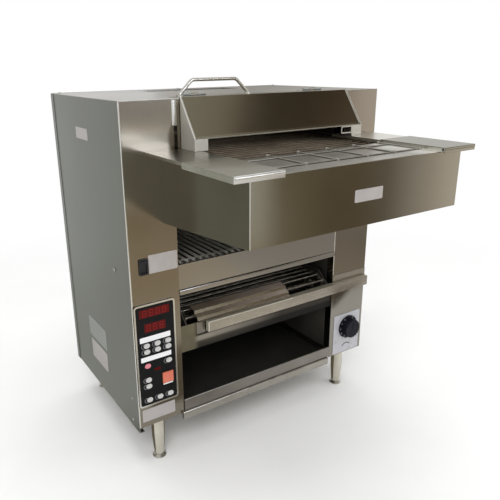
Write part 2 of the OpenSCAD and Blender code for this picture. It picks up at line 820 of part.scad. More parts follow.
module gearmotor(y, z) {
    x0 = ox1 + sheet;
    difference() {
        union() {
            box([x0, y - gear_w / 2, z - gear_h / 2], [x0 + gear_w, y + gear_w / 2, z + gear_h / 2]);
            translate([x0 + gear_w / 2, y, z]) cylinder(d = motor_d, h = motor_h);
            translate([x0 + gear_w / 2, y, z + motor_h]) cylinder(d = motor_d - fold / 2, h = fold);
        }
        xrod(shaft_r + run_fit, x0 - sheet, x0 + gear_w * 3 / 4, y, z);
    }
}

module gearmotors() color(iron) part() {
    gearmotor(meat_y1, meat_z);
    gearmotor(bun_y1, bun_z);
}

// Burners and gas

module upper_burners() color(iron) part() {
    upper_w = (wing_gap - (upper_n - 1) * upper_gap) / upper_n;
    step = upper_w + upper_gap;
    z1 = z_top - sheet - upper_down;
    y0 = return_d + fold;
    for (i = [0:upper_n - 1]) {
        x = -wing_gap / 2 + i * step;
        difference() {
            box([x, y0, z1 - upper_h], [x + upper_w, y0 + upper_d, z1]);
            box([x + fold, y0 + fold, z1 - upper_h - sheet],
                [x + upper_w - fold, y0 + upper_d - fold, z1 - upper_h + sheet]);
        }
        for (y = [y0 + fold, y0 + upper_d / 2])
            box([x + upper_w / 2 - fold, y, z1], [x + upper_w / 2 + fold, y + 2 * sheet, z_top - sheet]);
    }
}

module lower_burners() color(iron) part()
    for (y = tube_y)
        difference() {
            xrod(tube_d / 2, ox0, ox1, y, meat_z);
            box([-wing_gap / 2 + fold, y - sheet / 2, meat_z + tube_d / 4],
                [wing_gap / 2 - fold, y + sheet / 2, meat_z + tube_d]);
        }

module gas_manifold() color("#8f8a6a") part() {
    yrod(pipe_d / 2, tube_front - pipe_d, pipe_end, pipe_x, meat_z);
    for (y = tube_y)
        xrod(branch_d / 2, pipe_x, ox0, y, meat_z);
}

module gas_valve() color("#b08d4f") part() difference() {
    union() {
        box([pipe_x - valve_w / 2, pipe_end, meat_z - valve_w / 2],
            [pipe_x + valve_w / 2, cab_d - 2 * sheet, meat_z + valve_w / 2]);
        yrod(inlet_d / 2, cab_d - 2 * sheet - fold, cab_d + inlet_out, pipe_x, meat_z);
        translate([pipe_x, pipe_end + valve_w / 2, meat_z]) cylinder(d = valve_cap_d, h = valve_w);
    }
    yrod(inlet_bore / 2, cab_d + inlet_out - inlet_deep, cab_d + inlet_out + sheet, pipe_x, meat_z);
}

// Grate, bun shelf and tray

module discharge_grate() color(shade) part() {
    n = floor((ox1 - ox0 - 2 * grate_d) / grate_pitch);
    x0 = (ox0 + ox1 - n * grate_pitch) / 2;
    z = z_band + grate_d / 2;
    for (i = [0:n])
        yrod(grate_d / 2, sheet, y_in - grate_d, x0 + i * grate_pitch, z);
    for (y = [band_fold, y_in - grate_d - 2 * grate_flat])
        box([ox0, y, z_band - grate_flat / 2], [ox1, y + grate_flat, z_band + sheet / 2]);
}

module bun_housing() color(shade) part() {
    along_x(ox0, ox1)
        polygon([[2 * sheet, z_house], [y_in, z_house], [y_in, z_house + sheet], [3 * sheet, z_house + sheet],
            [3 * sheet, z_rail - sheet], [2 * sheet, z_rail - sheet]]);
    difference() {
        for (s = [0, 1])
            mirror([s, 0, 0]) {
                along_x(-bun_w / 2 - rail_t, -bun_w / 2)
                    polygon([[3 * sheet, z_house + sheet], [y_in, z_house + sheet], [y_in, z_house + house_h],
                        [bun_front, z_house + house_h], [bun_front - bun_r, z_house + house_h - bun_r],
                        [3 * sheet, z_rail - 2 * sheet]]);
                slide_strip(-bun_w / 2, bun_front + belt_pitch, bun_y1 - belt_pitch, bun_z + bun_r);
            }
        for (y = [bun_front, bun_y1])
            xrod(shaft_r + run_fit, -hw, hw, y, bun_z);
    }
}

module landing_rail() color(steel) part() {
    x0 = -hw + rail_left;
    y_face = -rail_out + sheet;
    z_low = z_rail - rail_face;
    along_x(x0, ox1)
        polygon([[-rail_out, z_rail], [3 * sheet, z_rail], [3 * sheet, z_rail - sheet],
            [y_face, z_rail - sheet], [y_face, z_low + sheet], [-sheet, z_low + sheet], [-sheet, z_low],
            [-rail_out, z_low]]);
    along_x(ox1, hw)
        polygon([[-rail_out, z_rail], [-sheet, z_rail], [-sheet, z_rail + rail_plate],
            [0, z_rail + rail_plate], [0, z_rail - sheet], [y_face, z_rail - sheet], [y_face, z_low + sheet],
            [-sheet, z_low + sheet], [-sheet, z_low], [-rail_out, z_low]]);
    for (x = [x0, hw - sheet])
        box([x, -rail_out, z_low], [x + sheet, -sheet, z_rail]);
}

// Bent twice, so that it climbs onto the belt in two steps
module bun_feed_plate() color(steel) part() {
    r = bun_r + link_h / 2 + feed_gap;
    ridge = [bun_front + r * cos(144), bun_z + r * sin(144)];
    low = [[-rail_out / 3, z_rail], [3 * sheet, z_rail], [4 * sheet, z_rail + feed_step], ridge,
        ridge + [sheet, feed_step], [bun_front + sheet, bun_z + r]];
    top = [for (i = [len(low) - 1:-1:0]) low[i] + [-sheet, sheet]];
    along_x(-hw + feed_left, -hw + feed_left + feed_w) polygon(concat(low, top));
}

module bun_elements() color(iron) part() {
    step = (bun_y1 - bun_front) / element_n;
    for (i = [0:element_n - 1])
        xrod(element_d / 2, ox0, ox1, bun_front + (i + 0.5) * step, bun_z + element_up);
}

module drip_tray() color(steel) part() {
    a = [ox0 + tray_left, -tray_out, z_floor + tray_gap];
    b = [ox1 - tray_right, y_in - 2 * tray_out, z_floor + tray_gap + tray_wall];
    in = [sheet, sheet, sheet];
    difference() {
        box(a, b);
        box(a + in, b + [-sheet, -sheet, sheet]);
    }
    box(a, [b.x, a.y + sheet, a.z + tray_h]);
    xrod(2 * sheet, a.x, b.x, a.y + 2 * sheet, a.z + tray_h);
}

// Hood

module hood() color(shade) part() {
    run = hood_reach - sheet;
    fall = z_lid + sheet - z_entry;
    slant = sheet * sqrt(run * run + fall * fall) / fall;
    y_strip = hinge_back - knuckle_d;
    along_x(hood_x0, hood_x1)
        polygon([[y_strip, z_lid + sheet], [-sheet, z_lid + sheet], [-hood_reach, z_entry],
            [-hood_reach + slant, z_entry], [-sheet + slant - sheet * run / fall, z_lid], [y_strip, z_lid]]);
    for (x = [hood_x0, hood_x1 - sheet])
        along_x(x, x + sheet)
            polygon([[-sheet, z_lid + sheet], [-hood_reach, z_entry], [-hood_reach, z_foot],
                [-sheet, z_foot]]);
    for (x = [hood_x0, hood_x1 - post_w])
        box([x, -hood_reach, z_foot], [x + post_w, -hood_reach + sheet, z_entry]);
    xrod(sheet, hood_x0, hood_x1, -hood_reach + sheet, z_entry);
    for (x = hinge_x)
        difference() {
            union() {
                xrod(knuckle_d / 2, x + knuckle_w + side_gap, x + 2 * knuckle_w - side_gap, hinge_back,
                    hinge_z);
                box([x + knuckle_w + side_gap, y_strip, z_lid],
                    [x + 2 * knuckle_w - side_gap, hinge_back, z_lid + sheet]);
            }
            xrod(pin_d / 2 + run_fit, x, x + hinge_w, hinge_back, hinge_z);
        }
}

// One end of the bent handle, from its foot over the bend
module handle_end() {
    foot = bar_d / 2;
    slope = norm([handle_lean, handle_rise - foot]) - bend_in;
    cylinder(r = bar_d, h = foot);
    translate([0, 0, foot]) rotate([0, 90 - turn, 0]) cylinder(d = bar_d, h = slope);
    translate([handle_lean + bend_in, 0, handle_rise - bend_r]) rotate([90, 0, 0]) rotate(90)
        rotate_extrude(angle = turn) translate([bend_r, 0]) circle(d = bar_d + bend_swell);
}

module hood_handle() color(bright) part()
    translate([hood_x0 + handle_in + handle_span / 2, handle_back, z_lid + sheet]) {
        grip = handle_span / 2 - handle_lean - bend_in;
        for (s = [0, 1])
            mirror([s, 0, 0]) translate([-handle_span / 2, 0, 0]) handle_end();
        xrod(bar_d / 2, -grip, grip, 0, handle_rise);
    }

module hood_hinges() color(bright) part()
    for (x = hinge_x) {
        for (k = [x, x + 2 * knuckle_w]) {
            difference() {
                xrod(knuckle_d / 2, k, k + knuckle_w, hinge_back, hinge_z);
                box([k - sheet, hinge_back - knuckle_d, z_top - knuckle_d],
                    [k + knuckle_w + sheet, hinge_back + knuckle_d, z_top]);
            }
            box([k, hinge_back, z_top], [k + knuckle_w, hinge_back + knuckle_d, z_top + sheet]);
        }
        box([x, hinge_back + knuckle_d, z_top], [x + hinge_w, hinge_back + knuckle_d + wrap, z_top + sheet]);
        xrod(pin_d / 2, x, x + hinge_w, hinge_back, hinge_z);
    }

// Controls

module key_hole(x, z, gap) oval([x, z], key_w + 2 * gap, key_h + 2 * gap);

key_at = [for (i = [0:2]) [key_x[i], key_z[0]], for (i = [0:2]) [key_x[i], key_z[1]], [key_x[2], key_z[2]],
    [key_x[0], key_z[3]], [key_x[0], key_z[4]], for (i = [0:2]) [key_x[i], key_z[5]]];

// Middle, width and height of the two displays and the pilot lamp
lens_at = [[key_x[1] - display_shift, pad_z + pad_h - display_down, display_w, display_h],
    [key_x[1] - display_shift, pad_z + pad_h - timer_down, timer_w, timer_h],
    [key_x[0], key_z[2], key_w, key_h]];

module lens_shape(k, gap)
    if (k == 2)
        key_hole(lens_at[k][0], lens_at[k][1], gap);
    else
        translate([lens_at[k][0], lens_at[k][1]])
            square([lens_at[k][2] + 2 * gap, lens_at[k][3] + 2 * gap], center = true);

module keypad() color(black) part() difference() {
    union() {
        along_y(-pad_t, 0) round_rect([pad_x, pad_z], [pad_x + pad_w, pad_z + pad_h], pad_r);
        along_y(0, case_d) round_rect(case_a, case_b, pad_r / 2);
    }
    for (p = key_at)
        along_y(-pad_t - sheet, -pad_t + key_deep + key_travel + key_gap) key_hole(p.x, p.y, key_gap);
    along_y(-pad_t - sheet, -pad_t + key_deep + power_travel + key_gap)
        translate([power_x, power_z]) square(power_w + 2 * key_gap, center = true);
    for (k = [0:2])
        along_y(-pad_t - sheet, -pad_t + sheet) lens_shape(k, run_fit);
}

module display_lenses() color("#7a1414") part()
    for (k = [0:2])
        along_y(-pad_t, -pad_t + sheet) lens_shape(k, 0);

module key(i) color("#c9c8c6") part()
    along_y(-pad_t - key_out, -pad_t + key_deep) key_hole(key_at[i].x, key_at[i].y, 0);

module power_key() color("#f0694f") part()
    along_y(-pad_t - 1.5 * key_out, -pad_t + key_deep)
        translate([power_x, power_z]) square(power_w, center = true);

module up_key_left() key(0);

module up_key_middle() key(1);

module up_key_right() key(2);

module down_key_left() key(3);

module down_key_middle() key(4);

module down_key_right() key(5);

module stop_key() key(6);

module select_key_upper() key(7);

module select_key_lower() key(8);

module mode_key_left() key(9);

module mode_key_middle() key(10);

module mode_key_right() key(11);

module stop_switch() color(black) part() {
    a = [switch_x - switch_w / 2, switch_z - switch_h / 2];
    b = [switch_x + switch_w / 2, switch_z + switch_h / 2];
    rim = [switch_rim, switch_rim];
    wall = switch_rim + switch_wall;
    difference() {
        union() {
            along_y(-2 * sheet, 0) round_rect(a, b, switch_r);
            along_y(0, switch_deep) translate(a + rim) square(b - a - 2 * rim);
        }
        box([a.x + wall, -3 * sheet, a.y + wall], [b.x - wall, switch_deep - 2 * switch_wall, b.y - wall]);
        xrod(pivot_d / 2 + run_fit, a.x, b.x, pivot_y, switch_z);
    }
}

module stop_rocker() color("#3a3940") part() {
    w = switch_w - 2 * (switch_rim + switch_wall + side_gap);
    h = switch_h - 2 * (switch_rim + switch_wall + 2 * side_gap);
    tip = pivot_y + rocker_dish;
    back = rocker_t - pivot_y;
    reach = w / 2 + side_gap + switch_wall * 3 / 4;
    translate([switch_x, pivot_y, switch_z]) rotate([rocker_tilt, 0, 0]) {
        along_x(-w / 2, w / 2)
            polygon([[-tip, -h / 2], [-pivot_y, 0], [-tip, h / 2], [back, h / 2 - pivot_y],
                [back, pivot_y - h / 2]]);
        xrod(pivot_d / 2, -reach, reach, 0, 0);
    }
}

module thermostat_knob() color(black) part() translate([knob_x, 0, knob_z]) {
    y0 = -plate_t - side_gap;
    along_y(y0 - skirt_t, y0) circle(d = knob_d);
    along_y(y0 - knob_h, y0 - skirt_t / 2) difference() {
        circle(d = grip_d);
        for (i = [0:ridge_n - 1])
            rotate((i + 0.5) * 360 / ridge_n) translate([grip_d / 2 + ridge_off, 0]) circle(d = ridge_d);
    }
    along_y(y0 - knob_h - pointer_t, y0 - knob_h + pointer_t) translate([-sheet, 0])
        square([2 * sheet, grip_d / 2 - ridge_d]);
    yrod(spindle_d / 2, y0 - skirt_t / 2, fold * 2, 0, 0);
}

module knob_plate() color("#dcdcde") part() difference() {
    along_y(-plate_t, 0)
        round_rect([plate_x - plate_w / 2, z_plate], [plate_x + plate_w / 2, z_plate + plate_h], plate_r);
    yrod(spindle_d, -2 * plate_t, plate_t, knob_x, knob_z);
}

module thermostat() color(iron) part() difference() {
    union() {
        yrod(thermo_d / 2, sheet, sheet + thermo_neck, knob_x, knob_z);
        box([knob_x - thermo_d / 3, 2 * fold, knob_z - thermo_d / 3],
            [knob_x + thermo_d / 3, 3 * fold, knob_z + thermo_d / 3]);
    }
    yrod(spindle_d / 2 + run_fit, 0, 2 * fold + side_gap, knob_x, knob_z);
}

base_pan();
left_side_panel();
right_side_panel();
rear_panel();
top_panel();
left_fascia();
right_fascia();
right_control_panel();
cross_band();
left_inner_wall();
right_inner_wall();
chamber_back();
legs();
leveling_feet();
feeder_shroud();
feeder_deck();
left_wing();
right_wing();
lane_guides();
meat_rails();
meat_belt();
meat_drive_shaft();
meat_idler_shaft();
upper_burners();
lower_burners();
gas_manifold();
gas_valve();
discharge_grate();
bun_housing();
landing_rail();
bun_feed_plate();
bun_belt();
bun_drive_shaft();
bun_idler_shaft();
bun_elements();
drip_tray();
hood();
hood_handle();
hood_hinges();
keypad();
display_lenses();
power_key();
up_key_left();
up_key_middle();
up_key_right();
down_key_left();
down_key_middle();
down_key_right();
stop_key();
select_key_upper();
select_key_lower();
mode_key_left();
mode_key_middle();
mode_key_right();
stop_switch();
stop_rocker();
thermostat_knob();
knob_plate();
thermostat();
gearmotors();
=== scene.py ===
import json
import math
import bmesh
import bpy
from mathutils import Matrix, Vector

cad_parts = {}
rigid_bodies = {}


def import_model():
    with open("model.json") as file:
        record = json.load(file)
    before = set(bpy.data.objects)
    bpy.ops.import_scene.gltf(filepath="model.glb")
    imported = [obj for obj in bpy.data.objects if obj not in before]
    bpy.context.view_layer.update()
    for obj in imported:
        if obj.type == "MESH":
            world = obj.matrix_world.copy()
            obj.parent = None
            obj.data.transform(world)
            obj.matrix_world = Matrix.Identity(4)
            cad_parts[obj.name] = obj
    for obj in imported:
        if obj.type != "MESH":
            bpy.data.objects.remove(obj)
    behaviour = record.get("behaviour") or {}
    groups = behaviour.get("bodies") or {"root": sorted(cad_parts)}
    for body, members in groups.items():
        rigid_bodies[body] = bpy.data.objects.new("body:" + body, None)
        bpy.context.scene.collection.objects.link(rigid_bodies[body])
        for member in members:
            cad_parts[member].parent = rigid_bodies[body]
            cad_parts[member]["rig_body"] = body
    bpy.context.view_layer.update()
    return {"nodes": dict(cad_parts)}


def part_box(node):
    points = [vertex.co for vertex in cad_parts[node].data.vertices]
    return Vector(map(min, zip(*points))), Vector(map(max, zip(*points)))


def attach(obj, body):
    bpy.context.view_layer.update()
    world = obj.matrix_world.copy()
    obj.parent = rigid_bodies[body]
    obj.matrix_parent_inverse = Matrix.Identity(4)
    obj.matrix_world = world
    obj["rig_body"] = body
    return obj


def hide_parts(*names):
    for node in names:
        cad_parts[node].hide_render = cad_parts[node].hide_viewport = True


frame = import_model()
nodes = frame["nodes"]
mm = 0.001
frontPlane = -68 * mm      # front face of the column panels
print("frame loaded,", len(nodes), "nodes")


def hexLinear(code):
    parts = [int(code[i:i + 2], 16) / 255 for i in (1, 3, 5)]
    return tuple(p / 12.92 if p <= 0.04045 else ((p + 0.055) / 1.055) ** 2.4 for p in parts) + (1.0,)


def addNode(tree, kind, inputs=None, ramp=None, **settings):
    made = tree.nodes.new("ShaderNode" + kind)
    for key, value in settings.items():
        setattr(made, key, value)
    if ramp:
        stops = made.color_ramp.elements
        for at, code in ramp[1:-1]:
            stops.new(at)
        for stop, (at, code) in zip(stops, ramp):
            stop.position = at
            stop.color = hexLinear(code)
    for key, value in (inputs or {}).items():
        if isinstance(value, bpy.types.NodeSocket):
            tree.links.new(value, made.inputs[key])
        else:
            made.inputs[key].default_value = value
    return made


def startMaterial(name, **fixed):
    mat = bpy.data.materials.new(name)
    mat.use_nodes = True
    skin = mat.node_tree.nodes["Principled BSDF"]
    for key, value in fixed.items():
        skin.inputs[key.replace("_", " ")].default_value = value
    mat.diffuse_color = fixed.get("Base_Color", (0.6, 0.6, 0.6, 1.0))
    return mat, mat.node_tree, skin


# Materials

def driftAlong(tree, place, tone, look):
    # lets a colour run into another one along x
    if "drift" not in look:
        return tone
    start, end, code = look["drift"]
    parts = addNode(tree, "SeparateXYZ", {"Vector": place})
    run = addNode(tree, "MapRange", {"Value": parts.outputs["X"], "From Min": start * mm, "From Max": end * mm})
    mixed = addNode(tree, "Mix", {0: run.outputs["Result"], 6: tone, 7: hexLinear(code)}, data_type="RGBA")
    return mixed.outputs[2]


def groundStainless(name, look):
    # Stainless sheet ground with an abrasive belt: fine scratches one way that smear reflections across
    # them, and faint cloudy patches where it has been wiped
    mat, tree, skin = startMaterial(name, Metallic=1.0, Base_Color=hexLinear(look["light"]))
    place = addNode(tree, "TexCoord").outputs["Object"]
    # the real scratches are about 0.06 mm apart; drawn near 0.6 mm so that they show
    across, along = 1 / (look["scratchMm"] * mm), 1 / (look["strokeMm"] * mm)
    spread = {"x": (along, across, across), "y": (across, along, across), "z": (across, across, along)}
    stretched = addNode(tree, "Mapping", {"Vector": place, "Scale": spread[look["grain"]]})
    scratch = addNode(tree, "TexNoise", {"Vector": stretched.outputs["Vector"], "Scale": 1.0, "Detail": 3.0,
                                         "Roughness": 0.65})
    wipe = addNode(tree, "TexNoise", {"Vector": place, "Scale": 1 / (look["cloudMm"] * mm), "Detail": 2.0,
                                      "Roughness": 0.5, "Distortion": 0.4})
    both = addNode(tree, "Math", {0: scratch.outputs["Fac"], 1: wipe.outputs["Fac"]}, operation="ADD")
    half = addNode(tree, "Math", {0: both.outputs["Value"], 1: 0.5}, operation="MULTIPLY")
    low, high, grooveMm = 0.34, 0.66, 0.05     # the noise keeps within the first two
    tone = addNode(tree, "ValToRGB", {"Fac": half.outputs["Value"]},
                   ramp=[(low, look["dark"]), (high, look["light"])]).outputs["Color"]
    tone = driftAlong(tree, place, tone, look)
    rough = addNode(tree, "MapRange", {"Value": half.outputs["Value"], "From Min": low, "From Max": high,
                                       "To Min": look["rough"][0], "To Max": look["rough"][1]})
    groove = addNode(tree, "Bump", {"Height": scratch.outputs["Fac"], "Strength": look["bite"],
                                    "Distance": grooveMm * mm})
    tree.links.new(tone, skin.inputs["Base Color"])
    tree.links.new(rough.outputs["Result"], skin.inputs["Roughness"])
    tree.links.new(groove.outputs["Normal"], skin.inputs["Normal"])
    return mat


def mottled(name, look, **fixed):
    # One surface with two sizes of cloud in its colour and roughness, and a fine skin texture
    mat, tree, skin = startMaterial(name, **fixed)
    place = addNode(tree, "TexCoord").outputs["Object"]
    cloud = addNode(tree, "TexNoise", {"Vector": place, "Scale": 1 / (look["cloudMm"] * mm), "Detail": 5.0,
                                       "Roughness": 0.6})
    speck = addNode(tree, "TexNoise", {"Vector": place, "Scale": 1 / (look["speckMm"] * mm), "Detail": 2.0})
    both = addNode(tree, "Math", {0: cloud.outputs["Fac"], 1: speck.outputs["Fac"]}, operation="ADD")
    half = addNode(tree, "Math", {0: both.outputs["Value"], 1: 0.5}, operation="MULTIPLY")
    tone = addNode(tree, "ValToRGB", {"Fac": half.outputs["Value"]}, ramp=look["tones"]).outputs["Color"]
    tone = driftAlong(tree, place, tone, look)
    low, high, depth = 0.3, 0.7, 0.15     # span of the cloud, and how deep a speck is for its size
    rough = addNode(tree, "MapRange", {"Value": cloud.outputs["Fac"], "From Min": low, "From Max": high,
                                       "To Min": look["rough"][0], "To Max": look["rough"][1]})
    skinBump = addNode(tree, "Bump", {"Height": speck.outputs["Fac"], "Strength": look["bite"],
                                      "Distance": look["speckMm"] * depth * mm})
    tree.links.new(tone, skin.inputs["Base Color"])
    tree.links.new(rough.outputs["Result"], skin.inputs["Roughness"])
    tree.links.new(skinBump.outputs["Normal"], skin.inputs["Normal"])
    return mat


# Tones below were fitted to the picture patch by patch; the wear that a note gives as a cause is a guess
# Side and rear sheets: dull satin, the brushing runs upright
satinSheet = groundStainless("stainless_satin_sheet", {
    "light": "#8f918c", "dark": "#868883", "rough": (0.4, 0.5), "grain": "z", "scratchMm": 0.7,
    "strokeMm": 60, "cloudMm": 320, "bite": 0.12})
# Top sheet: the same, written a little brighter than the side sheets, painted light on the face that looks up
topSheetLit = groundStainless("stainless_satin_top_painted_light", {
    "light": "#a5a29b", "dark": "#9a9790", "rough": (0.26, 0.36), "grain": "x", "scratchMm": 0.7,
    "strokeMm": 70, "cloudMm": 240, "bite": 0.1})
# Buffed sheets, brushed upright or along their length
buffedUpright = {"rough": (0.12, 0.18), "grain": "z", "scratchMm": 0.6, "strokeMm": 55, "bite": 0.05}
buffedLevel = {"rough": (0.13, 0.2), "grain": "x", "scratchMm": 0.6, "strokeMm": 80, "bite": 0.05}
# Front columns: brushed upright and then buffed, so they mirror the floor and their neighbours
frontUpright = groundStainless("stainless_buffed_column", dict(
    buffedUpright, light="#8b8477", dark="#827b6e", cloudMm=260))
# Feeder front: buffed the same way, brushed along its length, so reflections smear upright
frontLevel = groundStainless("stainless_buffed_feeder", dict(
    buffedLevel, light="#8e897a", dark="#858071", cloudMm=260))
# Feeder cheeks: brushed upright, a cooler grey, and written darker than the feeder's front, a painted shade on
# the side faces
feederSideShaded = groundStainless("stainless_buffed_feeder_side_painted_shade", dict(
    buffedUpright, light="#868477", dark="#7c7a6d", rough=(0.14, 0.2), strokeMm=60, cloudMm=200))
# Cross band: less tinted, so it keeps a plain grey between the openings
bandSheet = groundStainless("stainless_buffed_band", dict(
    buffedLevel, light="#9b9893", dark="#918e88", cloudMm=240))
# Control panel: buffed like the columns, a plainer grey
panelSheet = groundStainless("stainless_buffed_panel", dict(
    buffedUpright, light="#8c8880", dark="#837f77", cloudMm=200))
# Hood: buffed, and written a little darker and browner than the feeder's front, so its mirror is browner
hoodSheet = groundStainless("stainless_buffed_hood", dict(
    buffedLevel, light="#857e70", dark="#7b7466", rough=(0.14, 0.2), cloudMm=220))
# Hood cheeks and feet: blasted with glass beads, dull and half metal, and written pale, a painted light where
# the buffed sheet goes dark
hoodCheekLit = mottled("stainless_cheek_painted_light", {
    "cloudMm": 60, "speckMm": 0.8, "rough": (0.42, 0.55), "bite": 0.08,
    "tones": [(0.3, "#b0aca2"), (0.55, "#bab6ac"), (0.72, "#c4c0b6")]}, Metallic=0.4)
# Top of the left wing: smooth from sliding food, a little dulled by washing, and written paler than the right
# wing's top, a painted light
wornLook = {"light": "#a5a298", "dark": "#9a978d", "rough": (0.26, 0.34), "grain": "y", "scratchMm": 0.6,
            "strokeMm": 60, "cloudMm": 120, "bite": 0.06}
leftWingTopLit = groundStainless("stainless_worn_wing_painted_light", dict(wornLook, light="#bcb9ae", dark="#b0ada2"))
# Top of the right wing: the same sheet, written a deeper grey than the left wing's top, a painted shade
rightWingTopShaded = groundStainless("stainless_worn_wing_painted_shade", wornLook)
# Loading table: worn like the right wing, and fitted paler at its right end, cause not known
tableSheet = groundStainless("stainless_worn_lanes", dict(wornLook, drift=(140, 190, "#e6e4dc")))
# Hems, lips and small bent parts: polished by handling, and written paler than the sheets they edge, partly a
# painted highlight; the raised highlight strips along edges and folds use it too
brightEdgeAndHighlight = groundStainless("stainless_polished_and_painted_highlight", {
    "light": "#d2d1cb", "dark": "#c4c3bc", "rough": (0.18, 0.28), "grain": "x", "scratchMm": 0.6,
    "strokeMm": 30, "cloudMm": 60, "bite": 0.08})
# Risers of the feed plate: warmed to a straw tint by the heat above the belt
strawSheet = groundStainless("stainless_heat_tinted", {
    "light": "#979080", "dark": "#857e6e", "rough": (0.2, 0.3), "grain": "x", "scratchMm": 0.6,
    "strokeMm": 60, "cloudMm": 90, "bite": 0.08})
# Landing rail: the same tint, paler because it is wiped
railSheet = groundStainless("stainless_wiped_rail", {
    "light": "#a8a297", "dark": "#989287", "rough": (0.2, 0.3), "grain": "x", "scratchMm": 0.6,
    "strokeMm": 60, "cloudMm": 90, "bite": 0.08})
# Top and left end of the landing rail: rubbed dull by trays, and written paler than the rail's front, painted
# light on the faces that look up and to the left
railFaceLit = mottled("stainless_rail_face_painted_light", {
    "cloudMm": 30, "speckMm": 0.8, "rough": (0.4, 0.55), "bite": 0.08,
    "tones": [(0.3, "#98927f"), (0.55, "#a49e8d"), (0.72, "#b0ab9c")]}, Metallic=0.4)
# Treads of the feed plate: browned by crumbs that have baked on, and painted paler towards the right, a painted
# reflection. Treads of the feed plate: browned by crumbs that have baked on, fitted paler towards the right
brownedTreadWithSheen = mottled("stainless_crumb_browned_painted_sheen", {
    "cloudMm": 24, "speckMm": 1.2, "rough": (0.42, 0.6), "bite": 0.15,
    "tones": [(0.3, "#685c4c"), (0.55, "#786c5d"), (0.72, "#877d6f")],
    "drift": (-150, 60, "#c0b0a2")}, Metallic=0.4)
# Inside of the drip tray: dull under a film of old grease, and dark, partly grease and partly painted shade of
# the deep cavity
greaseAndShadeFloor = mottled("stainless_grease_and_painted_shade", {
    "cloudMm": 60, "speckMm": 1.6, "rough": (0.5, 0.7), "bite": 0.15,
    "tones": [(0.3, "#252420"), (0.55, "#2e2d29"), (0.72, "#393731")]}, Metallic=0.25)
# Front of the drip tray: greyed by grease and scrubbing
trayGrey = groundStainless("stainless_scrubbed_tray", {
    "light": "#8f8b84", "dark": "#7f7b74", "rough": (0.26, 0.38), "grain": "x", "scratchMm": 0.7,
    "strokeMm": 50, "cloudMm": 80, "bite": 0.12})
# Nose of the base pan: scrubbed the same way, less greasy, so brighter
noseGrey = groundStainless("stainless_scrubbed_nose", {
    "light": "#aaa69e", "dark": "#9a968e", "rough": (0.24, 0.34), "grain": "x", "scratchMm": 0.7,
    "strokeMm": 50, "cloudMm": 90, "bite": 0.1})
# Legs: turned steel with a nickel flash, faintly yellow
legNickel = groundStainless("steel_turned_nickel_plated", {
    "light": "#d8d4c7", "dark": "#c2beaf", "rough": (0.13, 0.2), "grain": "z", "scratchMm": 0.8,
    "strokeMm": 18, "cloudMm": 40, "bite": 0.06})
# Round steel rod and tube: drawn bright bar, streaks along it
drawnBar = groundStainless("stainless_drawn_bar", {
    "light": "#c6c3bb", "dark": "#aaa69c", "rough": (0.2, 0.32), "grain": "x", "scratchMm": 0.8,
    "strokeMm": 40, "cloudMm": 30, "bite": 0.1})
# Hood handle: the same bar, rubbed smooth by hands
rubbedBar = groundStainless("stainless_bar_hand_worn", {
    "light": "#c4c1b9", "dark": "#b7b4ab", "rough": (0.2, 0.28), "grain": "x", "scratchMm": 0.8,
    "strokeMm": 40, "cloudMm": 60, "bite": 0.02})
# Lane wires: the same bar, dulled by dishwashing
dullWire = groundStainless("stainless_bar_dulled", {
    "light": "#a19e95", "dark": "#8b887f", "rough": (0.3, 0.42), "grain": "y", "scratchMm": 0.8,
    "strokeMm": 40, "cloudMm": 30, "bite": 0.1})
# Upper belt, its wheels and the shafts: steel browned by heat, with grease baked on in wide patches
bakedSteel = mottled("steel_heat_browned", {
    "cloudMm": 70, "speckMm": 1.6, "rough": (0.34, 0.5), "bite": 0.08,
    "tones": [(0.32, "#52493d"), (0.5, "#695f50"), (0.66, "#827767")]}, Metallic=0.9)
# Bun belt: runs cooler, so its rods stay greyer
dulledSteel = mottled("steel_heat_dulled", {
    "cloudMm": 22, "speckMm": 1.6, "rough": (0.34, 0.55), "bite": 0.2,
    "tones": [(0.32, "#4f4a42"), (0.5, "#7d766a"), (0.66, "#a59d90")]}, Metallic=0.75)
# Landing grate: thick round bar, half shiny. Written paler than it looks in the picture, because little light
# gets into this opening here; it shows too pale in open light
paledGrateBar = mottled("steel_bar_painted_light", {
    "cloudMm": 26, "speckMm": 1.4, "rough": (0.34, 0.5), "bite": 0.2,
    "tones": [(0.32, "#bdbbb1"), (0.5, "#d0cec4"), (0.68, "#dfddd3")]}, Metallic=0.3)
# Chamber walls: sheet under a baked layer of soot, nearly black with dull brown patches
sootedSheet = mottled("steel_sooted_sheet", {
    "cloudMm": 70, "speckMm": 2.0, "rough": (0.4, 0.7), "bite": 0.3,
    "tones": [(0.3, "#302e2b"), (0.55, "#45413c"), (0.72, "#5a5149")]}, Metallic=0.2)
# Front plate under the bun belt: brushed sheet with painted light and shade: lit at its left end, a painted
# shadow under the rail that darkens towards the right, and a painted highlight along its fold
frontShadeLook = {
    "leftMm": (-222, -208), "stripMm": (-190, 60), "heightMm": (303, 349), "streakMm": 40, "rough": (0.2, 0.42),
    "bite": 0.1, "biteMm": 0.2, "litEnd": [(0.3, "#6b6656"), (0.7, "#787362")],
    "nearEnd": [(0.0, "#2f2d29"), (0.36, "#4b4740"), (0.5, "#948f86"), (0.7, "#9b968d"), (0.79, "#2a2723")],
    "farEnd": [(0.0, "#171614"), (0.36, "#1d1b19"), (0.5, "#38342f"), (0.7, "#3b3732"), (0.79, "#1a1816")]}
shadedFront, tree, skin = startMaterial("stainless_front_painted_shade", Metallic=0.85)
place = addNode(tree, "TexCoord").outputs["Object"]
parts = addNode(tree, "SeparateXYZ", {"Vector": place})
streak = addNode(tree, "TexNoise", {"Vector": place, "Scale": 1 / (frontShadeLook["streakMm"] * mm), "Detail": 4.0})
runs = {}
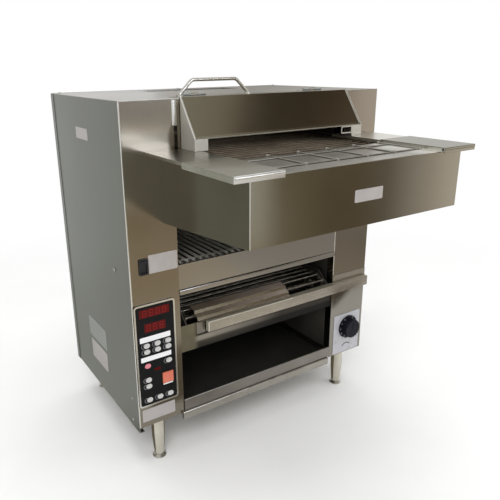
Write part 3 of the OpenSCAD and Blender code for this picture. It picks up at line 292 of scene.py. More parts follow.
for key, axis in (("leftMm", "X"), ("heightMm", "Z"), ("stripMm", "X")):
    start, end = frontShadeLook[key]
    runs[key] = addNode(tree, "MapRange", {"Value": parts.outputs[axis], "From Min": start * mm,
                                           "From Max": end * mm}).outputs["Result"]
# tones up the plate's height: painted shade at its foot and under the rail, a painted highlight band along the
# fold
nearEnd, farEnd = (addNode(tree, "ValToRGB", {"Fac": runs["heightMm"]}, ramp=frontShadeLook[key]).outputs["Color"]
                   for key in ("nearEnd", "farEnd"))
bands = addNode(tree, "Mix", {0: runs["stripMm"], 6: nearEnd, 7: farEnd}, data_type="RGBA").outputs[2]
litEnd = addNode(tree, "ValToRGB", {"Fac": streak.outputs["Fac"]}, ramp=frontShadeLook["litEnd"]).outputs["Color"]
shadedPlate = addNode(tree, "Mix", {0: runs["leftMm"], 6: litEnd, 7: bands}, data_type="RGBA").outputs[2]
rough = addNode(tree, "MapRange", {"Value": streak.outputs["Fac"], "To Min": frontShadeLook["rough"][0],
                                   "To Max": frontShadeLook["rough"][1]})
grain = addNode(tree, "Bump", {"Height": streak.outputs["Fac"], "Strength": frontShadeLook["bite"],
                               "Distance": frontShadeLook["biteMm"] * mm})
tree.links.new(shadedPlate, skin.inputs["Base Color"])
tree.links.new(rough.outputs["Result"], skin.inputs["Roughness"])
tree.links.new(grain.outputs["Normal"], skin.inputs["Normal"])
# Burners and elements: rough iron castings and sheathed rods, scaled by heat
scaledIron = mottled("cast_iron_scaled", {
    "cloudMm": 30, "speckMm": 1.4, "rough": (0.55, 0.8), "bite": 0.6,
    "tones": [(0.3, "#2a2623"), (0.52, "#463f39"), (0.7, "#6a5647")]}, Metallic=0.6)
# Gas fittings: turned brass gone dull
turnedBrass = mottled("brass_turned_dull", {
    "cloudMm": 25, "speckMm": 1.0, "rough": (0.28, 0.45), "bite": 0.1,
    "tones": [(0.3, "#7d6434"), (0.55, "#a88b50"), (0.7, "#bfa468")]}, Metallic=1.0)
# Screws and bearing caps: zinc-plated steel, grey with a dull shine
zincPlate = mottled("steel_zinc_plated", {
    "cloudMm": 6, "speckMm": 0.6, "rough": (0.25, 0.42), "bite": 0.08,
    "tones": [(0.3, "#8e8f8c"), (0.5, "#b0b0ac"), (0.7, "#c9c9c4")]}, Metallic=1.0)
# Gearmotors: grey hammer enamel over a casting
motorEnamel = mottled("enamel_grey_hammered", {
    "cloudMm": 18, "speckMm": 2.6, "rough": (0.3, 0.45), "bite": 0.35,
    "tones": [(0.3, "#5d6266"), (0.5, "#6e7377"), (0.7, "#7f8488")]}, Metallic=0.0)
# Keypad: black polyester film over a moulded frame, a very fine pebble that takes the shine off it
padFilm = mottled("polyester_film_black", {
    "cloudMm": 40, "speckMm": 0.8, "rough": (0.34, 0.46), "bite": 0.12,
    "tones": [(0.3, "#0f0f10"), (0.55, "#141415"), (0.72, "#1b1b1d")]}, Metallic=0.0, Specular_IOR_Level=0.12)
# Display windows: red acrylic, glossy, dark where nothing is lit behind it
windowRed = mottled("acrylic_red_window", {
    "cloudMm": 30, "speckMm": 1.2, "rough": (0.1, 0.18), "bite": 0.02,
    "tones": [(0.3, "#440b0c"), (0.55, "#540e0e"), (0.72, "#621211")]}, Metallic=0.0, Specular_IOR_Level=0.15)
# Lit segments behind the windows: the same red, a step brighter, with soft edges
ledRed = mottled("led_segment_red", {
    "cloudMm": 8, "speckMm": 0.8, "rough": (0.2, 0.3), "bite": 0.03,
    "tones": [(0.3, "#711010"), (0.55, "#801414"), (0.72, "#8b1818")]}, Metallic=0.0, Specular_IOR_Level=0.2)
# Pilot lens: frosted pink acrylic that looks pale from the front
lampPink = mottled("acrylic_pink_lamp", {
    "cloudMm": 8, "speckMm": 0.8, "rough": (0.14, 0.24), "bite": 0.03,
    "tones": [(0.3, "#c86f7a"), (0.55, "#da8791"), (0.72, "#e39aa2")]}, Metallic=0.0)
# Oval keys: silicone rubber, moulded matt, a little greyed by fingers
keyRubber = mottled("silicone_key_pale", {
    "cloudMm": 9, "speckMm": 0.6, "rough": (0.45, 0.6), "bite": 0.12,
    "tones": [(0.3, "#b4b3b1"), (0.55, "#c4c3c1"), (0.72, "#cdccca")]}, Metallic=0.0)
# Power key: moulded ABS, dull orange with a slight sheen
keyOrange = mottled("abs_moulded_orange", {
    "cloudMm": 14, "speckMm": 0.7, "rough": (0.28, 0.4), "bite": 0.08,
    "tones": [(0.3, "#c56650"), (0.55, "#d07058"), (0.72, "#d77d66")]}, Metallic=0.0)
# Switch: black nylon, moulded with a spark-eroded grain
switchNylon = mottled("nylon_moulded_black", {
    "cloudMm": 12, "speckMm": 0.7, "rough": (0.4, 0.55), "bite": 0.2,
    "tones": [(0.3, "#18181b"), (0.55, "#222226"), (0.72, "#2e2e33")]}, Metallic=0.0, Specular_IOR_Level=0.3)
# Knob: compression-moulded phenolic, dark with a bluish bloom
knobPhenolic = mottled("phenolic_moulded_dark", {
    "cloudMm": 20, "speckMm": 0.8, "rough": (0.26, 0.4), "bite": 0.12,
    "tones": [(0.3, "#111117"), (0.55, "#191922"), (0.72, "#252531")]}, Metallic=0.0, Specular_IOR_Level=0.1)
# Knob plate: white baked enamel on sheet, faintly yellowed and scuffed
plateEnamel = mottled("enamel_white_plate", {
    "cloudMm": 45, "speckMm": 1.2, "rough": (0.22, 0.38), "bite": 0.05,
    "tones": [(0.3, "#b1b1b6"), (0.55, "#b9b9be"), (0.72, "#c2c2c6")]}, Metallic=0.0)
# Blank plates: anodised aluminium, plain satin with a faint warm cast
blankPlate = mottled("aluminium_anodised_blank", {
    "cloudMm": 24, "speckMm": 0.8, "rough": (0.35, 0.5), "bite": 0.05,
    "tones": [(0.3, "#a7a2a0"), (0.55, "#b2adab"), (0.72, "#bbb7b5")]}, Metallic=0.35)
# Grey plate and hinges: the same anodising over a blasted surface, darker and duller
satinPlate = mottled("aluminium_anodised_grey", {
    "cloudMm": 24, "speckMm": 0.8, "rough": (0.4, 0.52), "bite": 0.05,
    "tones": [(0.3, "#8a8c88"), (0.55, "#949692"), (0.72, "#9d9f9b")]}, Metallic=0.35)
# Bars on the film: screen ink, flat white
printWhite = mottled("ink_white_printed", {
    "cloudMm": 20, "speckMm": 0.7, "rough": (0.4, 0.52), "bite": 0.05,
    "tones": [(0.3, "#e0e0e2"), (0.55, "#eaeaec"), (0.72, "#efeff0")]}, Metallic=0.0)
# Rings round the keys and knob marks: grey ink, rubbed by fingers
printGrey = mottled("ink_grey_printed", {
    "cloudMm": 15, "speckMm": 0.7, "rough": (0.4, 0.55), "bite": 0.05,
    "tones": [(0.3, "#6b6b6e"), (0.55, "#7b7b7e"), (0.72, "#8a8a8d")]}, Metallic=0.0)
# Dial print: dark ink on the enamel
printDark = mottled("ink_dark_printed", {
    "cloudMm": 15, "speckMm": 0.7, "rough": (0.4, 0.55), "bite": 0.05,
    "tones": [(0.3, "#3b3b40"), (0.55, "#4a4a50"), (0.72, "#5a5a60")]}, Metallic=0.0)
print("materials made,", len(bpy.data.materials))


# Dress for the nodes that keep their own shape
dress = {
    "rear_panel": satinSheet, "left_inner_wall": sootedSheet, "right_inner_wall": sootedSheet,
    "chamber_back": sootedSheet, "legs": legNickel, "leveling_feet": drawnBar,
    "lane_guides": dullWire, "meat_rails": sootedSheet, "meat_belt": bakedSteel,
    "meat_drive_shaft": bakedSteel, "meat_idler_shaft": bakedSteel, "upper_burners": scaledIron,
    "lower_burners": scaledIron, "gas_manifold": turnedBrass, "gas_valve": turnedBrass,
    "bun_belt": dulledSteel, "bun_drive_shaft": bakedSteel, "bun_idler_shaft": drawnBar,
    "bun_elements": scaledIron, "hood_handle": rubbedBar, "hood_hinges": satinPlate,
    "display_lenses": windowRed, "thermostat": motorEnamel, "gearmotors": motorEnamel}
for name, mat in dress.items():
    nodes[name].data.materials.clear()
    nodes[name].data.materials.append(mat)
print("plain nodes dressed,", len(dress))


# Mesh helpers: each works in millimetres, y from the front face of the columns
meshLook = {"smoothDeg": 26, "bevelDeg": 38, "flatDeg": 0.6, "weldMm": 0.002, "closeMm": 0.0005,
            "bevelSteps": 2, "bevelProfile": 0.6, "faceWeight": 100}


def spot(x, y, z):
    return Vector((x * mm, frontPlane + y * mm, z * mm))


def addPiece(name, work, mat, look):
    bmesh.ops.recalc_face_normals(work, faces=work.faces)
    for face in work.faces:
        face.smooth = True
    blunt = math.radians(meshLook["smoothDeg"])
    for edge in work.edges:
        edge.smooth = len(edge.link_faces) == 2 and edge.calc_face_angle(0.0) < blunt
    mesh = bpy.data.meshes.new(name)
    work.to_mesh(mesh)
    work.free()
    mesh.materials.append(mat)
    piece = bpy.data.objects.new(name, mesh)
    bpy.context.scene.collection.objects.link(piece)
    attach(piece, look["body"])
    return piece


# Sheet-metal and moulded nodes get softened edges, so their corners catch the light
def softenEdges(node, mat, look):
    work = bmesh.new()
    work.from_mesh(nodes[node].data)
    bmesh.ops.remove_doubles(work, verts=work.verts, dist=meshLook["weldMm"] * mm)
    bmesh.ops.dissolve_limit(work, angle_limit=math.radians(meshLook["flatDeg"]), verts=work.verts,
                             edges=work.edges, delimit={"NORMAL"})
    corner = math.radians(meshLook["bevelDeg"])
    sharp = [e for e in work.edges if len(e.link_faces) == 2 and e.calc_face_angle(0.0) > corner]
    bmesh.ops.bevel(work, geom=sharp, offset=look["widthMm"] * mm, offset_type="OFFSET",
                    segments=meshLook["bevelSteps"], profile=meshLook["bevelProfile"], affect="EDGES",
                    clamp_overlap=True)
    piece = addPiece(node + "_soft", work, mat, {"body": nodes[node]["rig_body"], "slot": look["slot"]})
    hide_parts(node)
    flat = piece.modifiers.new("flat_faces", "WEIGHTED_NORMAL")     # keeps the large faces mirror-flat
    flat.mode = "FACE_AREA"
    flat.weight = meshLook["faceWeight"]
    flat.keep_sharp = True
    for other, faces in look.get("also", []):     # a second finish on the faces that look a certain way
        piece.data.materials.append(other)
        for face in piece.data.polygons:
            if faces(face.normal):
                face.material_index = len(piece.data.materials) - 1


thinSheet = {"widthMm": 0.45, "slot": "panel_steel"}
frontSheet = {"widthMm": 0.5, "slot": "front_steel"}
brightSheet = {"widthMm": 0.45, "slot": "bright_steel"}
moulded = {"widthMm": 0.6, "slot": "switch_black"}
softened = [
    ("left_side_panel", satinSheet, thinSheet), ("right_side_panel", satinSheet, thinSheet),
    ("top_panel", topSheetLit, thinSheet), ("base_pan", noseGrey, thinSheet),
    ("drip_tray", trayGrey, dict(thinSheet, also=[(greaseAndShadeFloor, lambda n: n.z > 0.7)])),
    ("left_fascia", frontUpright, frontSheet), ("right_fascia", frontUpright, frontSheet),
    ("right_control_panel", panelSheet, frontSheet), ("cross_band", bandSheet, frontSheet),
    # the feeder's side faces take the darker sheet, a painted shade
    ("feeder_shroud", frontLevel, dict(frontSheet, also=[(feederSideShaded, lambda n: abs(n.x) > 0.8)])),
    ("feeder_deck", tableSheet, brightSheet),
    # The wings are one sheet: the left wing's flange and top are painted lighter and the right wing's darker,
    # lit and shaded copies
    ("left_wing", brightEdgeAndHighlight, dict(brightSheet, also=[(leftWingTopLit, lambda n: n.z > 0.8)])),
    ("right_wing", frontLevel, dict(brightSheet, also=[(rightWingTopShaded, lambda n: n.z > 0.8)])),
    ("landing_rail", railSheet, dict(brightSheet, also=[(railFaceLit, lambda n: n.z > 0.7 or n.x < -0.8)])),
    ("bun_feed_plate", strawSheet, dict(brightSheet, also=[(brownedTreadWithSheen, lambda n: n.z > 0.7)])),
    ("discharge_grate", paledGrateBar, {"widthMm": 0.3, "slot": "belt_steel",
                                      "also": [(sootedSheet, lambda n: n.y < -0.4)]}),
    ("bun_housing", sootedSheet, dict(thinSheet, also=[(shadedFront, lambda n: n.y < -0.8)])),
    # the hood's faces that look forward or sideways take the pale cheek sheet, a painted light
    ("hood", hoodSheet, dict(frontSheet, also=[(hoodCheekLit, lambda n: n.y < -0.93 or abs(n.x) > 0.8)])),
    ("keypad", padFilm, {"widthMm": 0.5, "slot": "keypad_black"}),
    ("stop_switch", switchNylon, moulded), ("stop_rocker", switchNylon, moulded),
    ("thermostat_knob", knobPhenolic, {"widthMm": 0.7, "slot": "knob_black"}),
    ("knob_plate", plateEnamel, {"widthMm": 0.3, "slot": "plate_white"}),
    ("power_key", keyOrange, {"widthMm": 0.7, "slot": "key_orange"})]
ovalKeys = sorted(n for n in nodes if "_key" in n and n != "power_key")
softened += [(n, keyRubber, {"widthMm": 0.5, "slot": "key_grey"}) for n in ovalKeys]
for node, mat, look in softened:
    softenEdges(node, mat, look)
print("softened pieces,", len(softened))


# Shapes for trim and fasteners. u and v span the face that a piece sits on, and u x v points out of it
faceFront = (Vector((1, 0, 0)), Vector((0, 0, 1)))
faceLeft = (Vector((0, -1, 0)), Vector((0, 0, 1)))
toFront, toRear = Vector((0, -1, 0)), Vector((0, 1, 0))
toLeft, toRight, toTop = Vector((-1, 0, 0)), Vector((1, 0, 0)), Vector((0, 0, 1))


def roundedOutline(w, h, r, steps=6):
    points = []
    for cx, cz, start in ((w / 2 - r, h / 2 - r, 0), (r - w / 2, h / 2 - r, 90),
                          (r - w / 2, r - h / 2, 180), (w / 2 - r, r - h / 2, 270)):
        for i in range(steps + 1):
            turn = math.radians(start + 90 * i / steps)
            points.append((cx + r * math.cos(turn), cz + r * math.sin(turn)))
    return points


def bridge(work, rings):
    for low, high in zip(rings, rings[1:]):
        for i in range(len(low)):
            j = (i + 1) % len(low)
            work.faces.new((low[i], low[j], high[j], high[i]))


def ringOf(work, outline, origin, face, height, inset=0.0):
    u, v = face
    lift = u.cross(v) * height
    made = []
    for a, b in outline:
        k = 1 - inset / max(math.hypot(a, b), 0.01)
        made.append(work.verts.new(origin + (u * a * k + v * b * k + lift) * mm))
    return made


def addSlab(work, outline, origin, face, thick, rim=0.15):
    # a thin plate with a broken edge
    rings = [ringOf(work, outline, origin, face, h, inset) for h, inset in
             ((0.0, 0.0), (thick - rim, 0.0), (thick, rim))]
    bridge(work, rings)
    work.faces.new(rings[0][::-1])
    work.faces.new(rings[-1])


def addLoop(work, outer, inner, origin, face, thick):
    # a flat frame between two outlines
    rings = [ringOf(work, line, origin, face, h) for line, h in
             ((outer, 0.0), (outer, thick), (inner, thick), (inner, 0.0), (outer, 0.0))]
    bridge(work, rings)
    bmesh.ops.remove_doubles(work, verts=work.verts, dist=meshLook["closeMm"] * mm)


def addArc(work, origin, face, radii, turns, thick, steps=14):
    # part of a flat ring, from one angle to another
    line = []
    for r, order in ((radii[1], range(steps + 1)), (radii[0], range(steps, -1, -1))):
        for i in order:
            turn = math.radians(turns[0] + (turns[1] - turns[0]) * i / steps)
            line.append((r * math.cos(turn), r * math.sin(turn)))
    low, high = (ringOf(work, line, origin, face, h) for h in (0.0, thick))
    bridge(work, [low, high])
    for i in range(steps):
        j = len(line) - 1 - i
        work.faces.new((high[i], high[i + 1], high[j - 1], high[j]))


def addTurned(work, profile, origin, axis, count=20):
    # a lathe-turned shape: radius and height pairs about an axis
    side = axis.orthogonal().normalized()
    other = axis.cross(side)
    turns = [2 * math.pi * i / count for i in range(count)]
    rings = []
    for r, h in profile:
        rings.append([work.verts.new(origin + (axis * h + (side * math.cos(t) + other * math.sin(t)) * r) * mm)
                      for t in turns])
    bridge(work, rings)
    work.faces.new(rings[0][::-1])
    work.faces.new(rings[-1])


def addHem(work, start, end, out, width, rise, steps=6):
    # a folded-over edge: a low rounded strip from one point to another
    side = (end - start).normalized().cross(out)
    rings = []
    for at in (start, end):
        rings.append([work.verts.new(at + (side * math.cos(t) * width / 2 + out * math.sin(t) * rise) * mm)
                      for t in (math.pi * i / steps for i in range(steps + 1))])
    bridge(work, rings)
    work.faces.new(rings[0][::-1])
    work.faces.new(rings[1])


def addTube(work, start, end, outer, inner, count=16):
    # an open-ended rolled edge
    axis = (end - start).normalized()
    side = axis.orthogonal().normalized()
    other = axis.cross(side)
    rings = []
    for at, r in ((start, outer), (end, outer), (end, inner), (start, inner), (start, outer)):
        rings.append([work.verts.new(at + (side * math.cos(t) + other * math.sin(t)) * r * mm)
                      for t in (2 * math.pi * i / count for i in range(count))])
    bridge(work, rings)
    bmesh.ops.remove_doubles(work, verts=work.verts, dist=meshLook["closeMm"] * mm)


def addScrew(work, origin, axis, d):
    # a button-head screw with a round socket, in shares of the head's width
    head = [(0.5, -0.05), (0.5, 0.12), (0.44, 0.24), (0.3, 0.32), (0.2, 0.34), (0.18, 0.16), (0.03, 0.14)]
    addTurned(work, [(r * d, h * d) for r, h in head], origin, axis, 16)


# Keypad trim. proud is how far a layer stands out, and its broken rim
padLo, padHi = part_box("keypad")
padFace = (padLo.y - frontPlane) / mm
padLook = {
    "centre": ((padLo.x + padHi.x) / 2 / mm, (padLo.z + padHi.z) / 2 / mm),
    "size": ((padHi.x - padLo.x) / mm, (padHi.z - padLo.z) / mm), "corner": 8, "innerCorner": 5,
    "border": 4.2, "proud": 0.4}
w, h = padLook["size"]
cx, cz = padLook["centre"]
inset = padLook["border"]
work = bmesh.new()
addLoop(work, roundedOutline(w, h, padLook["corner"]),
        roundedOutline(w - 2 * inset, h - 2 * inset, padLook["innerCorner"]),
        spot(cx, padFace, cz), faceFront, padLook["proud"])
addPiece("keypad_border", work, brightEdgeAndHighlight, {"body": "cabinet", "slot": "bright_steel"})
barLook = {"bars": [(-332.5, 372.5, 82, 14), (-332.5, 319.4, 82, 12.8), (-303.75, 235.2, 27, 3.4)],
           "corner": 1.0, "proud": (0.25, 0.08)}
work = bmesh.new()
for x, z, w, h in barLook["bars"]:
    addSlab(work, roundedOutline(w, h, barLook["corner"], 3), spot(x, padFace, z), faceFront, *barLook["proud"])
addPiece("keypad_bars", work, printWhite, {"body": "cabinet", "slot": "plate_white"})
ringLook = {"radii": (5.6, 6.9), "shift": -7.6, "turns": (78, 282), "proud": 0.25}
work = bmesh.new()
for name in ovalKeys:
    lo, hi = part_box(name)
    x, z = (lo.x + hi.x) / 2 / mm + ringLook["shift"], (lo.z + hi.z) / 2 / mm
    addArc(work, spot(x, padFace, z), faceFront, ringLook["radii"], ringLook["turns"], ringLook["proud"])
addPiece("key_outlines", work, printGrey, {"body": "cabinet", "slot": "key_grey"})
ledLook = {"at": (-331, 285), "size": (17, 7), "corner": 1.5, "proud": (0.3, 0.1)}
work = bmesh.new()
x, z = ledLook["at"]
addSlab(work, roundedOutline(*ledLook["size"], ledLook["corner"], 3), spot(x, padFace, z), faceFront,
        *ledLook["proud"])
addPiece("keypad_led", work, windowRed, {"body": "cabinet", "slot": "display_red"})

# Display figures: plain seven-segment eights behind the red windows
lensFace = (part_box("display_lenses")[0].y - frontPlane) / mm
figureLook = {
    "rows": [(-331.5, 441, 4, 17.5), (-331.5, 402, 3, 17.5)], "size": (9.5, 15), "stroke": 1.9, "corner": 0.7,
    "gap": 0.7, "proud": (0.15, 0.05),     # gap is a share of the stroke
    "segments": [(0, 0.5, 0), (0, 0, 0), (0, -0.5, 0), (-0.5, 0.25, 90), (0.5, 0.25, 90), (-0.5, -0.25, 90),
                 (0.5, -0.25, 90)]}
w, h = figureLook["size"]
thick = figureLook["stroke"]
work = bmesh.new()
for x, z, count, pitch in figureLook["rows"]:
    for i in range(count):
        left = x + (i - (count - 1) / 2) * pitch
        for a, b, turn in figureLook["segments"]:
            long = (h / 2 if turn else w) - thick * figureLook["gap"]
            line = roundedOutline(*((thick, long) if turn else (long, thick)), figureLook["corner"], 2)
            addSlab(work, line, spot(left + a * w, lensFace, z + b * h), faceFront, *figureLook["proud"])
addPiece("display_figures", work, ledRed, {"body": "cabinet", "slot": "display_red"})
pilotLook = {"at": (-356.5, 300), "size": (16, 12.5), "corner": 6.2, "proud": (1.1, 0.5)}
work = bmesh.new()
x, z = pilotLook["at"]
addSlab(work, roundedOutline(*pilotLook["size"], pilotLook["corner"]), spot(x, lensFace, z), faceFront,
        *pilotLook["proud"])
addPiece("pilot_lens", work, lampPink, {"body": "cabinet", "slot": "display_red"})
print("keypad trimmed")

# Blank plates, one at each place that carries a plate on such a machine
plateLook = {"corner": 2.0, "proud": (0.5, 0.2)}
plates = {
    "pad_plate": {"at": (-332, 0, 160), "face": faceFront, "size": (92, 35), "mat": blankPlate},
    "stop_plate": {"at": (-300, 0, 561), "face": faceFront, "size": (76, 46), "mat": blankPlate},
    "feeder_plate": {"at": (4, -346, 748), "face": faceFront, "size": (80, 26), "mat": blankPlate},
    "side_plate_top": {"at": (-387.5, 247, 845), "face": faceLeft, "size": (84, 28), "mat": blankPlate},
    "side_plate_middle": {"at": (-387.5, 262, 289), "face": faceLeft, "size": (134, 60), "mat": satinPlate},
    "side_plate_low": {"at": (-387.5, 260, 219), "face": faceLeft, "size": (120, 58), "mat": blankPlate}}
for name, look in plates.items():
    work = bmesh.new()
    addSlab(work, roundedOutline(*look["size"], plateLook["corner"], 4), spot(*look["at"]), look["face"],
            *plateLook["proud"])
    addPiece(name, work, look["mat"], {"body": "cabinet", "slot": "plate_white"})

# Hood: hems down its cheeks and along its foot, and the frame of the entry bracket; the cheek hems are pale
# strips, painted highlights
hoodLo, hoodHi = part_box("hood")
hoodLook = {"top": (-1.5, 935.9), "foot": (-63, 848.9), "hem": 6.5, "rise": 0.9}
(y0, z0), (y1, z1) = hoodLook["top"], hoodLook["foot"]
slope = Vector((0, z1 - z0, y0 - y1)).normalized()
x0, x1 = hoodLo.x / mm + hoodLook["hem"] / 2, hoodHi.x / mm - hoodLook["hem"] / 2
work = bmesh.new()
for x in (x0, x1):
    addHem(work, spot(x, y0, z0), spot(x, y1, z1), slope, hoodLook["hem"], hoodLook["rise"])
addPiece("hood_highlight_hems", work, brightEdgeAndHighlight, {"body": "hood_lid", "slot": "bright_steel"})
k = hoodLook["hem"] / 2 / math.hypot(y0 - y1, z0 - z1)
yHem, zHem = y1 + (y0 - y1) * k, z1 + (z0 - z1) * k
work = bmesh.new()
addHem(work, spot(x0, yHem, zHem), spot(x1, yHem, zHem), slope, hoodLook["hem"], hoodLook["rise"])
addPiece("hood_foot_hem", work, frontLevel, {"body": "hood_lid", "slot": "bright_steel"})
bracketLook = {"at": (215, -61.5, 839), "outer": (38, 19, 2.5), "inner": (32, 13, 1.5), "proud": 1.2}
work = bmesh.new()
addLoop(work, roundedOutline(*bracketLook["outer"], 3), roundedOutline(*bracketLook["inner"], 3),
        spot(*bracketLook["at"]), faceFront, bracketLook["proud"])
addPiece("entry_bracket", work, brightEdgeAndHighlight, {"body": "hood_lid", "slot": "bright_steel"})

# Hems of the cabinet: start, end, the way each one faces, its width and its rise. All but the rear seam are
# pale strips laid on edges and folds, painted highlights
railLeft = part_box("landing_rail")[0].x / mm
railFace, railTop = -14, 376.4     # the rail's front, and the middle of its top hem
hems = {
    "column_hems": {"mat": brightEdgeAndHighlight, "slot": "bright_steel", "lines": [
        ((-386, 0, 130), (-386, 0, 932), toFront, 3.6, 0.9),
        ((255.6, 0, 403), (255.6, 0, 652), toFront, 2.8, 0.7),
        ((-293, -346, 684), (-293, -346, 813), toFront, 3.0, 0.4),
        ((-386, 1.6, 934), (-243, 1.6, 934), toTop, 3.2, 0.7),
        ((270, 1.6, 934), (386, 1.6, 934), toTop, 3.2, 0.7)]},
    "slot_hem": {"mat": brightEdgeAndHighlight, "slot": "bright_steel", "lines": [
        ((-255, 0, 876), (-255, 0, 931), toFront, 12, 0.9)]},
    "rear_seam_hem": {"mat": topSheetLit, "slot": "panel_steel", "lines": [
        ((-387, 473, 934), (387, 473, 934), toTop, 8, 0.8)]},
    "rail_hems": {"mat": brightEdgeAndHighlight, "slot": "bright_steel", "lines": [
        ((railLeft + 1, railFace, railTop), (90, railFace, railTop), toFront, 3.2, 0.5),
        ((railLeft + 1.6, railFace, 350), (railLeft + 1.6, railFace, railTop), toFront, 3.2, 0.5)]}}
for name, look in hems.items():
    work = bmesh.new()
    for start, end, out, width, rise in look["lines"]:
        addHem(work, spot(*start), spot(*end), out, width, rise)
    addPiece(name, work, look["mat"], {"body": "cabinet", "slot": look["slot"]})
tabLook = {"at": (-200.5, 3, 360), "size": (25, 33), "corner": 2.0, "proud": (1.2, 0.4)}
work = bmesh.new()
addSlab(work, roundedOutline(*tabLook["size"], tabLook["corner"], 4), spot(*tabLook["at"]), faceFront,
        *tabLook["proud"])
addPiece("rail_end_tab", work, trayGrey, {"body": "cabinet", "slot": "bright_steel"})

# Rolled front edges of the wings; the right one's roll stays open at the end that faces the table. The left
# roll takes the paler hem sheet and the right roll the darker feeder sheet: a painted light on the left, a
# painted shade on the right
rollLook = {"x": (223.5, 330.5), "at": (-352.5, 820.3), "radii": (4.1, 2.6), "end": (223, -351, 819.6),
            "ring": 5.0, "bore": 3.3}
for name, side, mat in (("wing_rolled_edge_left", -1, brightEdgeAndHighlight), ("wing_rolled_edge_right", 1, frontLevel)):
    start, end = (spot(side * x, *rollLook["at"]) for x in rollLook["x"])
    work = bmesh.new()
    addTube(work, start, end, *rollLook["radii"])
    addPiece(name, work, mat, {"body": "cabinet", "slot": "bright_steel"})
# The right roll's open end: a pale rim, a painted highlight, round a soot-dark disc that paints the shade
# inside the bore
rollEnds = (("wing_roll_rim", [("ring", 0.0), ("ring", 0.7), ("bore", 0.7), ("bore", 0.1)], brightEdgeAndHighlight),
            ("wing_roll_bore", [("bore", 0.0), ("bore", 0.25)], sootedSheet))
for name, profile, mat in rollEnds:
    work = bmesh.new()
    addTurned(work, [(rollLook[r], h) for r, h in profile], spot(*rollLook["end"]), toLeft, 18)
    addPiece(name, work, mat, {"body": "cabinet", "slot": "bright_steel"})
print("plates and hems added")

# Screws: y, z and head size on the sides, rows of x and z on the rear, one row along the top
screwLook = {
    "left": ((93, 530, 11), (35.5, 199.5, 8), (39, 134.7, 8)),
    "right": ((93, 530, 11), (35.5, 199.5, 8), (39, 140, 8)),
    "rear": [((-370, 370), (140, 330, 520, 710, 900)), ((-125, 125), (140, 900))], "top": (-370, 0, 370),
    "sideX": 387.5, "rearY": 477, "topAt": (455, 934), "head": 8}
screws = [(spot(-screwLook["sideX"], y, z), toLeft, d) for y, z, d in screwLook["left"]]
screws += [(spot(screwLook["sideX"], y, z), toRight, d) for y, z, d in screwLook["right"]]
for columns, rows in screwLook["rear"]:
    screws += [(spot(x, screwLook["rearY"], z), toRear, screwLook["head"]) for x in columns for z in rows]
screws += [(spot(x, *screwLook["topAt"]), toTop, screwLook["head"]) for x in screwLook["top"]]
work = bmesh.new()
for at, axis, d in screws:
    addScrew(work, at, axis, d)
addPiece("panel_screws", work, zincPlate, {"body": "cabinet", "slot": "bright_steel"})

# Clips that hold the lane wires down, one pair on each wire
clipLook = {"wires": 6, "frontInset": 1.5, "rearY": -175, "foot": 816,
            "profile": [(4.6, 0), (4.6, 2.6), (3.6, 4.2), (1.4, 4.9)]}
work = bmesh.new()
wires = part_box("lane_guides")
for i in range(clipLook["wires"]):
    x = (wires[0].x + (wires[1].x - wires[0].x) * i / (clipLook["wires"] - 1)) / mm
    for y in ((wires[0].y - frontPlane) / mm + clipLook["frontInset"], clipLook["rearY"]):
        addTurned(work, clipLook["profile"], spot(x, y, clipLook["foot"]), toTop, 14)
addPiece("lane_clips", work, dullWire, {"body": "cabinet", "slot": "bright_steel"})


# Knob marks: short strokes on the skirt that turn with it, an arc and strokes on the plate
def addStroke(work, centre, y, radius, turn, outline, proud):
    u = Vector((math.cos(turn), 0, math.sin(turn)))
    v = Vector((-math.sin(turn), 0, math.cos(turn)))
    addSlab(work, outline, spot(centre[0] + radius * u.x, y, centre[1] + radius * u.z), (u, v), *proud)


knobLook = {"at": (327.5, 216), "skirtFace": -5.7, "marks": 11, "sweep": (120, 420), "radius": 32.5,
            "long": 7.5, "short": 6.5, "wide": 3.4, "corner": 1.2, "proud": (0.2, 0.06)}
first, last = knobLook["sweep"]
work = bmesh.new()
for i in range(knobLook["marks"]):
    turn = math.radians(first + (last - first) * i / (knobLook["marks"] - 1))
    long = knobLook["long"] if i % 5 == 0 else knobLook["short"]
    line = roundedOutline(long, knobLook["wide"], knobLook["corner"], 3)
    addStroke(work, knobLook["at"], knobLook["skirtFace"], knobLook["radius"], turn, line, knobLook["proud"])
addPiece("knob_marks", work, printGrey, {"body": "knob", "slot": "plate_white"})
dialLook = {"face": -1.2, "arcShift": (-3, -76), "arc": (18, 21.5), "arcTurns": (35, 145), "radius": 42,
            "strokes": (215, 240, 265, 290, 315), "stroke": (4, 1.2, 0.4), "proud": (0.2, 0.06)}
work = bmesh.new()
x, z = (a + b for a, b in zip(knobLook["at"], dialLook["arcShift"]))
addArc(work, spot(x, dialLook["face"], z), faceFront, dialLook["arc"], dialLook["arcTurns"],
       dialLook["proud"][0])
for turn in dialLook["strokes"]:
    addStroke(work, knobLook["at"], dialLook["face"], dialLook["radius"], math.radians(turn),
              roundedOutline(*dialLook["stroke"], 2), dialLook["proud"])
addPiece("dial_print", work, printDark, {"body": "cabinet", "slot": "switch_black"})

# Cable gland in the rear panel: hexagon body and domed cap with a bored end
glandLook = {"at": (300, 477, 190), "body": [(13, 0), (13, 5), (11.8, 5.8)],
             "cap": [(10.5, 5.6), (10.5, 9), (8.6, 11.8), (5.2, 12.6), (5.0, 7), (0.4, 6.8)]}
work = bmesh.new()
addTurned(work, glandLook["body"], spot(*glandLook["at"]), toRear, 6)
addTurned(work, glandLook["cap"], spot(*glandLook["at"]), toRear, 20)
addPiece("cable_gland", work, switchNylon, {"body": "cabinet", "slot": "switch_black"})
print("fasteners and marks added")


